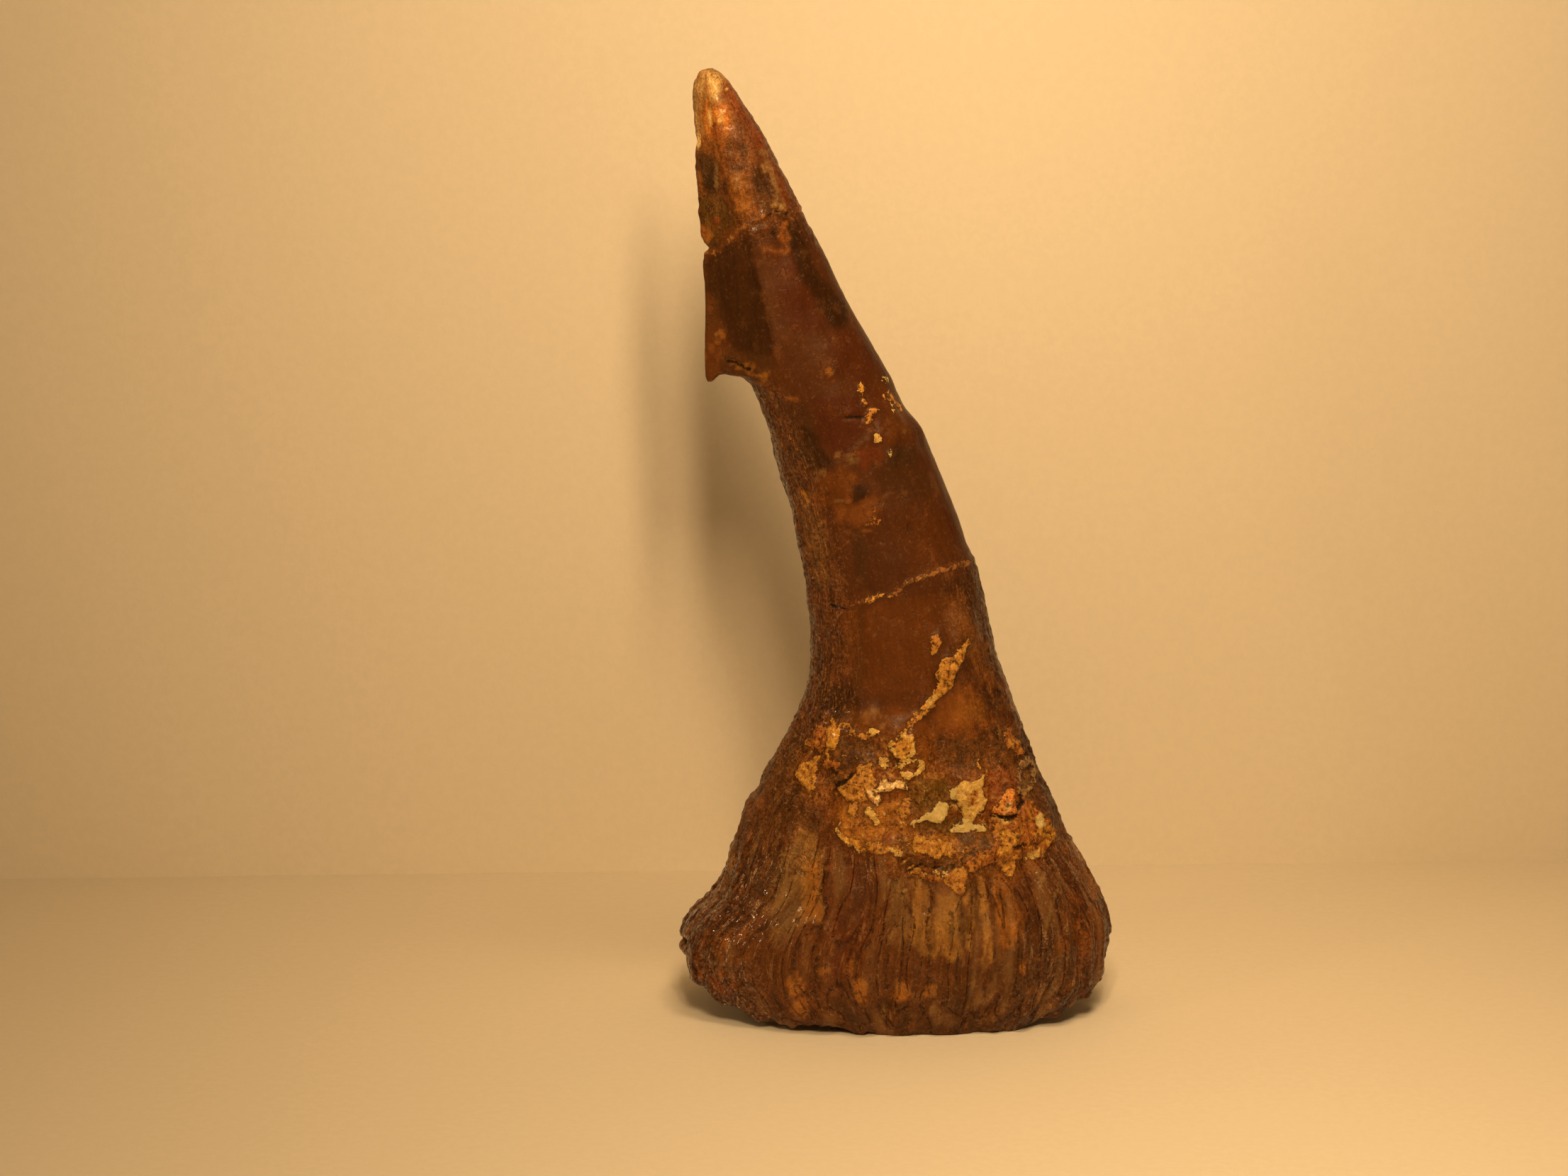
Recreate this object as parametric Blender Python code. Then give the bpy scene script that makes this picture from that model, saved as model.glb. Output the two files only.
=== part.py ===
"""Fossil sawfish rostral spine: one barbed spine that stands on its flared, ridged root.

A standalone Blender 4.5 script. Metres, +Z up. The front face looks along -Y, the barb is on
the -X edge, and the origin is on the surface that the root stands on, under the middle of the
spine's box. Run it with: blender --background --python part.py
"""

import math

import bmesh
import bpy
from mathutils import Vector, noise

MM = 0.001

# Driving dimensions, in millimetres.
HEIGHT = 69.0
ROOT_HALF_WIDTH = 16.0
ROOT_HALF_DEPTH = 9.0
FLARE_TOP = 24.0  # where the ridged root ends and the smooth shaft begins

# The mesh: a fine ring count round the ridged root, and half of it round the shaft and cap.
ROOT_COLUMNS = 112
SHAFT_COLUMNS = 56
ROOT_RINGS = 18
SHAFT_RINGS = 20
CAP_RINGS = 15
TIP_HEIGHTS = (67.4, 68.1, 68.5, 68.75, 68.88)  # rings of the rounded tip

# Outline seen from the front, as (height, x): the barbed edge and the plain, convex edge.
SHAFT_BARBED_EDGE = (
    (0.0, -15.2), (2.5, -15.9), (5.2, -16.0), (6.5, -15.2), (7.6, -14.15), (8.6, -13.2),
    (10.2, -12.4), (12.5, -11.75), (15.5, -10.7), (17.6, -9.6), (19.7, -8.3), (21.8, -7.15),
    (24.0, -6.5), (27.0, -6.15), (31.3, -6.5), (36.6, -7.4), (40.7, -8.6), (43.8, -9.45),
    (45.85, -10.3), (46.7, -10.95),
)
LEDGE = ((46.7, -10.95), (46.95, -12.3), (47.15, -13.85))  # the underside of the barb
CAP_BARBED_EDGE = (
    (47.15, -13.85), (51.0, -13.75), (55.8, -13.9), (58.2, -14.1), (62.2, -14.35),
    (65.2, -14.5), (67.4, -14.5), (68.1, -14.4), (68.6, -14.2), (68.88, -13.85),
)
PLAIN_EDGE = (
    (0.0, 15.4), (2.5, 16.0), (6.0, 16.0), (7.1, 15.65), (9.2, 14.9), (11.3, 13.65),
    (13.4, 12.4), (15.5, 11.7), (19.7, 9.85), (24.0, 8.25), (27.1, 7.25), (31.3, 6.25),
    (33.2, 5.8), (33.8, 5.45), (36.6, 4.6), (40.7, 2.85), (43.1, 1.85), (44.5, 0.6),
    (47.2, -0.65), (51.0, -2.85), (55.9, -5.35), (60.2, -7.45), (64.2, -9.55), (66.2, -10.85),
    (67.45, -11.65), (68.3, -12.2), (68.6, -12.45), (68.88, -12.8),
)
HALF_DEPTH = (
    (0.0, 8.5), (3.0, 9.0), (6.5, 8.7), (10.0, 7.9), (14.0, 6.8), (18.0, 5.75), (22.0, 4.95),
    (26.0, 4.45), (31.0, 4.1), (36.0, 3.95), (41.0, 3.8), (46.0, 3.6), (52.0, 3.15),
    (57.5, 2.65), (62.3, 2.1), (66.1, 1.6), (67.6, 1.25), (68.25, 0.95), (68.6, 0.7),
    (68.88, 0.4),
)
CROWN_LEAN = ((0.0, 0.0), (24.0, 0.0), (45.0, 0.5), (69.0, -0.3))  # the axis bows in depth

# The cap: a thick core that carries on from the shaft, and a thin blade on its barbed side.
CORE_EDGE = ((46.7, -10.95), (48.3, -11.7), (51.2, -12.8), (54.6, -13.5), (58.2, -14.05))
CREST = ((46.8, -9.0), (57.1, -10.6), (62.3, -12.4), (68.88, -13.35))  # where core meets blade
BLADE_EDGE_HALF = 0.12  # half the thickness of the blade's edge

# Height of the root's rim above the surface it stands on, as (x, height).
FRONT_RIM = (
    (-16.0, 4.2), (-14.8, 2.6), (-13.5, 1.8), (-12.2, 1.3), (-11.0, 0.75), (-8.0, 0.35),
    (-5.0, 0.65), (-3.0, 0.2), (-1.3, 0.0), (8.2, 0.0), (10.0, 0.3), (12.0, 0.7),
    (13.4, 1.2), (14.6, 1.8), (15.5, 2.7), (16.0, 3.8),
)
BACK_RIM = (
    (-16.0, 4.6), (-13.5, 2.2), (-11.0, 0.6), (-8.5, 0.0), (7.5, 0.0), (11.0, 0.7),
    (13.5, 2.1), (16.0, 4.5),
)
RIM_LAND = 1.3  # width of the flat rim round the hollow underside
HOLLOW_HEIGHT = 3.6
HOLLOW_STEPS = (0.72, 0.46, 0.2)

# Relief on the root.
RIDGES = 28
RIDGE_DEPTH = 0.5
END_FURROWS = (0.525, 0.975)  # turns where a furrow parts the front flare from the back one
FURROW_DEPTH = 0.5
FURROW_WIDTH = 0.016  # in turns

# The barb's point: the corner of the ledge is pulled down and in.
BARB_CORNER = (-13.85, 0.0, 47.15)
BARB_PULL = (0.35, 0.0, -0.95)
BARB_REACH = 1.9

# A chip in the cap's barbed edge, as (height, half height, depth).
EDGE_CHIP = (56.1, 0.55, 0.45)

# Mineral crust fused to the surface: (x, height, half width, half height, thickness).
FRONT_CRUST = (
    (-3.6, 20.6, 2.0, 2.0, 0.45), (0.6, 20.9, 1.6, 1.3, 0.6), (1.2, 18.6, 2.3, 1.0, 0.4),
    (-2.2, 17.3, 2.2, 2.0, 0.6), (-3.2, 14.6, 1.8, 1.1, 0.55), (0.2, 13.2, 2.6, 1.0, 0.6),
    (5.4, 17.5, 1.6, 1.9, 0.55), (2.4, 16.2, 2.0, 1.0, 0.4), (8.0, 17.0, 1.4, 1.5, 0.6),
    (9.6, 14.5, 1.8, 1.8, 0.55), (6.4, 13.4, 2.6, 1.1, 0.6), (4.6, 11.6, 2.2, 1.2, 0.5),
    (3.4, 26.4, 0.9, 2.2, 0.45), (4.9, 28.9, 0.9, 1.5, 0.4), (-0.8, 43.0, 1.0, 2.4, 0.35),
    (1.1, 43.2, 0.9, 1.4, 0.3), (-1.9, 21.9, 1.2, 1.2, 0.4),
)
BACK_CRUST = (
    (-2.4, 19.0, 2.6, 2.2, 0.5), (1.8, 20.6, 2.0, 1.4, 0.45), (4.6, 17.4, 2.4, 1.8, 0.55),
    (0.4, 15.6, 2.8, 1.3, 0.5), (-5.6, 15.8, 1.6, 1.4, 0.4), (1.2, 33.0, 1.0, 2.2, 0.35),
)

ROUGHNESS_SCALE = 0.35  # size of the uneven wear, per millimetre
ROUGHNESS_DEPTH = 0.16

FOSSIL_COLOUR = (0.17, 0.068, 0.028, 1.0)
FOSSIL_ROUGHNESS = 0.5


def clear_scene():
    for obj in list(bpy.data.objects):
        bpy.data.objects.remove(obj)


def smoothstep(low, high, value):
    share = min(1.0, max(0.0, (value - low) / (high - low)))
    return share * share * (3 - 2 * share)


def along(table, place):
    """Monotone cubic through a table of (place, value), so that no bulge forms between points."""
    if place <= table[0][0]:
        return table[0][1]
    if place >= table[-1][0]:
        return table[-1][1]
    last = next(i for i in range(1, len(table)) if table[i][0] >= place)
    slopes = [
        (b[1] - a[1]) / (b[0] - a[0]) for a, b in zip(table[:-1], table[1:], strict=True)
    ]

    def tangent(i):
        if i in (0, len(table) - 1):
            return slopes[0 if i == 0 else -1]
        before, after = slopes[i - 1], slopes[i]
        return 0.0 if before * after <= 0 else 2 * before * after / (before + after)

    (x0, y0), (x1, y1) = table[last - 1], table[last]
    span = x1 - x0
    t = (place - x0) / span
    return (
        y0 * (1 + 2 * t) * (1 - t) ** 2
        + tangent(last - 1) * span * t * (1 - t) ** 2
        + y1 * t * t * (3 - 2 * t)
        - tangent(last) * span * t * t * (1 - t)
    )


def barbed_edge(height):
    if height <= LEDGE[0][0]:
        return along(SHAFT_BARBED_EDGE, height)
    if height < LEDGE[-1][0]:
        return along(LEDGE, height)
    middle, half, depth = EDGE_CHIP
    chip = depth * max(0.0, 1 - abs(height - middle) / half)
    return along(CAP_BARBED_EDGE, height) + chip


def core_half_depth(x, height):
    """The oval core at x: nearly elliptical in the shaft and cap, and fuller in the root."""
    left = barbed_edge(height)
    if LEDGE[0][0] < height < CORE_EDGE[-1][0]:
        left = along(CORE_EDGE, height)
    right = along(PLAIN_EDGE, height)
    across = (2 * x - left - right) / (right - left)
    fullness = 1 - 0.2 * (1 - smoothstep(4.0, 20.0, height))
    return along(HALF_DEPTH, height) * max(0.0, 1 - across * across) ** (fullness / 2)


def half_depth(x, height):
    """Half the thickness at x. Between the blade's edge and the crest the cap's face is flat."""
    crest = along(CREST, height)
    if height <= LEDGE[0][0] or x >= crest:
        return core_half_depth(x, height)
    edge = barbed_edge(height)
    share = max(0.0, (x - edge) / (crest - edge))
    return BLADE_EDGE_HALF + (core_half_depth(crest, height) - BLADE_EDGE_HALF) * share


def ridge_wave(turn):
    """0 in the furrows and 1 on the ridges, which are unevenly spaced round the root."""
    phase = RIDGES * turn + 0.3 * math.sin(6 * math.pi * turn) + 0.2 * math.sin(26 * turn)
    return abs(math.sin(math.pi * phase))


def rim_height(turn):
    """Height of the rim at a turn round the root, with a notch under each furrow."""
    angle = 2 * math.pi * turn
    x = ROOT_HALF_WIDTH * math.cos(angle)
    rim = along(FRONT_RIM if math.sin(angle) < 0 else BACK_RIM, x)
    notch = 0.5 * (1 - ridge_wave(turn)) * smoothstep(0.1, 1.0, rim)
    return rim + notch


def root_relief(turn, height):
    """Outward shift for the ridges, and for the furrow at each end of the root."""
    uneven = 0.75 + 0.5 * noise.noise(Vector((9 * turn, 0.0, 4.0)))
    fade = 1 - smoothstep(2.0, 19.0, height)
    ridges = RIDGE_DEPTH * uneven * fade * (ridge_wave(turn) - 0.7)
    to_furrow = min(abs(turn - place) for place in END_FURROWS)
    furrow = math.exp(-((to_furrow / FURROW_WIDTH) ** 2))
    return ridges - FURROW_DEPTH * furrow * (1 - smoothstep(6.0, 14.0, height))


def surface_point(turn, height):
    """A point of the plain form, before relief, at a turn round it from the plain edge."""
    angle = 2 * math.pi * turn
    left, right = barbed_edge(height), along(PLAIN_EDGE, height)
    x = left + (right - left) * (1 + math.cos(angle)) / 2
    on_edge = abs(math.sin(angle)) < 1e-6
    y = 0.0 if on_edge else math.copysign(half_depth(x, height), math.sin(angle))
    return Vector((x, y + along(CROWN_LEAN, height), height))


def outward(turn, height):
    """Unit direction out of the surface, level, from the ring's own shape."""
    step = 0.5 / SHAFT_COLUMNS
    ahead, behind = surface_point(turn + step, height), surface_point(turn - step, height)
    run = ahead - behind
    return Vector((run.y, -run.x, 0.0)).normalized()


def crust_relief(point):
    """Thickness of the fused mineral crust, as overlapping low plates with broken edges."""
    patches = FRONT_CRUST if point.y < 0 else BACK_CRUST
    ragged = 0.35 * noise.noise(point * 0.9)
    thickest = 0.0
    for x, height, half_width, half_height, thickness in patches:
        reach = math.hypot((point.x - x) / half_width, (point.z - height) / half_height)
        thickest = max(thickest, thickness * (1 - smoothstep(0.75, 1.15, reach + ragged)))
    return thickest


def worn_point(turn, height):
    """The finished surface: plain form, ridges, crust and uneven wear."""
    point = surface_point(turn, height)
    wear = ROUGHNESS_DEPTH * noise.noise(point * ROUGHNESS_SCALE)
    wear *= smoothstep(0.0, 3.0, HEIGHT - height) * smoothstep(0.0, 2.0, height)
    shift = root_relief(turn, height) + crust_relief(point) + wear
    return point + outward(turn, height) * shift


def barb_pull(point):
    """Where the barb's corner takes a point of the cap."""
    reach = (point - Vector(BARB_CORNER)).length / BARB_REACH
    return point + Vector(BARB_PULL) * (1 - smoothstep(0.0, 1.0, reach))


def root_ring(step):
    """Ring of the root: step 0 follows the rim, and the last one is level at the flare's top."""
    rise = (step / ROOT_RINGS) ** 0.85
    ring = []
    for column in range(ROOT_COLUMNS):
        turn = column / ROOT_COLUMNS
        rim = rim_height(turn)
        point = worn_point(turn, rim + (FLARE_TOP - rim) * rise)
        ring.append(point)
    return ring


def level_ring(height):
    return [worn_point(column / SHAFT_COLUMNS, height) for column in range(SHAFT_COLUMNS)]


def shaft_heights():
    top = LEDGE[0][0]
    return [FLARE_TOP + (top - FLARE_TOP) * (i + 1) / SHAFT_RINGS for i in range(SHAFT_RINGS)]


def cap_heights():
    """The ledge's own heights, three round the chip, even steps between and the tip's rings."""
    bottom, top = LEDGE[-1][0], TIP_HEIGHTS[0]
    middle, half, _ = EDGE_CHIP
    even = [bottom + (top - bottom) * i / CAP_RINGS for i in range(CAP_RINGS)]
    chip = [middle - half, middle, middle + half]
    clear = [h for h in even if min(abs(h - c) for c in chip) > 0.35]
    return sorted([LEDGE[1][0], *clear, *chip, *TIP_HEIGHTS])


def hollow_ring(rim, scale):
    """A ring of the underside, scaled in from the rim and lifted towards the hollow's middle."""
    lift = 1 - ((scale - HOLLOW_STEPS[-1]) / (1 - HOLLOW_STEPS[-1])) ** 2
    return [
        Vector((p.x * scale, p.y * scale, p.z + (HOLLOW_HEIGHT - p.z) * lift)) for p in rim
    ]


def land_ring(rim):
    """The inner border of the flat rim, level with its outer border."""
    along_x = 1 - RIM_LAND / ROOT_HALF_WIDTH
    along_y = 1 - RIM_LAND / ROOT_HALF_DEPTH
    return [Vector((p.x * along_x, p.y * along_y, p.z)) for p in rim]


def join_rings(bm, lower, upper):
    """Faces between two rings with as many corners, or with twice as many in the lower one."""
    count = len(upper)
    for i in range(count):
        after = (i + 1) % count
        if len(lower) == count:
            bm.faces.new((lower[i], lower[after], upper[after], upper[i]))
            continue
        first, middle, last = lower[2 * i], lower[2 * i + 1], lower[2 * after]
        bm.faces.new((first, middle, upper[i]))
        bm.faces.new((middle, upper[after], upper[i]))
        bm.faces.new((middle, last, upper[after]))


def fan(bm, ring, point, upward):
    pole = bm.verts.new(point)
    for i in range(len(ring)):
        pair = (ring[i], ring[(i + 1) % len(ring)])
        bm.faces.new((*pair, pole) if upward else (pair[1], pair[0], pole))


def middle_of(ring):
    return sum(ring, Vector()) / len(ring)


def spine_rings():
    """Every ring, from the hollow's innermost one out to the rim and up to the tip."""
    root = [root_ring(step) for step in range(ROOT_RINGS + 1)]
    underside = [hollow_ring(root[0], scale) for scale in HOLLOW_STEPS]
    cap = [[barb_pull(p) for p in level_ring(h)] for h in cap_heights()]
    shaft = [level_ring(h) for h in shaft_heights()]
    return [*reversed(underside), land_ring(root[0]), *root, *shaft, *cap]


def centre_over_origin(bm):
    """Ridges and wear leave the box a hair off centre in plan, and this takes that out."""
    for axis in (0, 1):
        places = [v.co[axis] for v in bm.verts]
        shift = (min(places) + max(places)) / 2
        for v in bm.verts:
            v.co[axis] -= shift


def fossil_material():
    material = bpy.data.materials.new("fossil_bone")
    material.use_nodes = True
    shader = material.node_tree.nodes["Principled BSDF"]
    shader.inputs["Base Color"].default_value = FOSSIL_COLOUR
    shader.inputs["Roughness"].default_value = FOSSIL_ROUGHNESS
    shader.inputs["Metallic"].default_value = 0.0
    return material


def build_spine():
    bm = bmesh.new()
    rings = [[bm.verts.new(p * MM) for p in ring] for ring in spine_rings()]
    for lower, upper in zip(rings[:-1], rings[1:], strict=True):
        join_rings(bm, lower, upper)
    hollow_top = middle_of([v.co for v in rings[0]]) + Vector((0, 0, 0.1 * MM))
    fan(bm, rings[0], hollow_top, upward=False)
    tip = middle_of([v.co for v in rings[-1]])
    tip.z = HEIGHT * MM
    fan(bm, rings[-1], tip, upward=True)
    centre_over_origin(bm)
    bmesh.ops.recalc_face_normals(bm, faces=bm.faces)
    mesh = bpy.data.meshes.new("rostral_spine")
    bm.to_mesh(mesh)
    bm.free()
    mesh.shade_smooth()
    mesh.set_sharp_from_angle(angle=math.radians(50))
    mesh.materials.append(fossil_material())
    spine = bpy.data.objects.new("rostral_spine", mesh)
    bpy.context.scene.collection.objects.link(spine)


def main():
    clear_scene()
    build_spine()


main()
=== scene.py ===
"""Fossil sawfish rostral spine: the sculpted surface and finish of the spine, its floor and its light.

Laid out as a Blender add-on and run as a script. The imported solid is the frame: the spine's own
mesh is a finer copy of it, in metres, with +Z up and the broad front face towards -Y. Places on a
face are given in millimetres, as (x, height above the floor), the way the solid gives them.
"""

import math

import bpy
import numpy as np
from bpy.props import FloatProperty, FloatVectorProperty, PointerProperty
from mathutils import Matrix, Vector, noise


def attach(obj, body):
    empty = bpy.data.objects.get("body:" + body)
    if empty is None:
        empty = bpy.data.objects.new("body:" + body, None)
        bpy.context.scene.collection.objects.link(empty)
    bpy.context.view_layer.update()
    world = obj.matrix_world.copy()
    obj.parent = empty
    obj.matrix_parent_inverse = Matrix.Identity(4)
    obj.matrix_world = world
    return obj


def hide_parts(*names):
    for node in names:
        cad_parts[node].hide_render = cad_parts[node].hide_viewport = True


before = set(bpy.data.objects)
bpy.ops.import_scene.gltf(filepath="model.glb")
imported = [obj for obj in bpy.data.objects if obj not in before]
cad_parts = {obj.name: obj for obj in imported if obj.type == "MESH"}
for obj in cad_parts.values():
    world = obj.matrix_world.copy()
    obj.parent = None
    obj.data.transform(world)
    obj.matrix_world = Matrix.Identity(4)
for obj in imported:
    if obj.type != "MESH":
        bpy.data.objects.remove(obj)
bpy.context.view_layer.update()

bl_info = {
    "name": "Fossil Rostral Spine",
    "version": (1, 0, 0),
    "blender": (4, 5, 0),
    "location": "View3D > Sidebar > Fossil",
    "description": "Builds a fossil sawfish rostral spine, with its crust, floor and light",
    "category": "Object",
}

NODE = "rostral_spine"
MM = 0.001

BARB_POINT = (-13.9, 47.2)  # the barb's corner on the left edge
BARB_HOLLOW = (-12.7, 46.6)  # the middle of the hollow under the barb

# Heights between which a part of the spine fades in (FROM) or out (TO)
FOOT_FROM = (0, 0.5)
SCALLOPS_TO = (0.3, 1.8)
RIM_TO = (1.2, 4.5)
LEFT_LOBE_TO = (7, 9)
FLUTES_TO = (9, 17)
ROOT_TO = (10, 15)
GROOVES_TO = (12.5, 15.5)
BAND_FROM, BAND_TO = (10, 13), (20, 23)
GRAINS_FROM, GRAINS_TO = (11.6, 13.4), (20.5, 23.5)
SHAFT_FROM, SHAFT_TO = (13, 20), (45.5, 47.5)
DEEP_FROM = (18, 24)
LOWER_PART_TO = (20, 26)
LOW_SHAFT_TO = (31, 35)
NEAR_TIP_FROM = (55, 58)
TIP_FROM = (56.5, 60.5)

# Where each side begins and is full, across the spine from -1 at its left edge to 1 at its right
LEFT_SIDE, RIGHT_SIDE = (-0.35, -0.75), (0.4, 0.8)
ROOT_LEFT_SIDE = (-0.58, -0.85)
# LEFT_EDGE and RIGHT_EDGE bound the painted shade on the edges that turn away
LEFT_EDGE, RIGHT_EDGE = (-0.85, -0.98), (0.8, 0.97)

# How much red, green and blue each darkening takes away
DEEP_ENAMEL = (0.37, 0.41, 0.42)
LOWER_PART = (0.02, 0.04, 0.16)
# Painted shade: how much the edges that turn away are darkened
PAINTED_EDGE_SHADE = (0.25, 0.38, 0.55)

# ---------------------------------------------------------------- places on the front face

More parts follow.
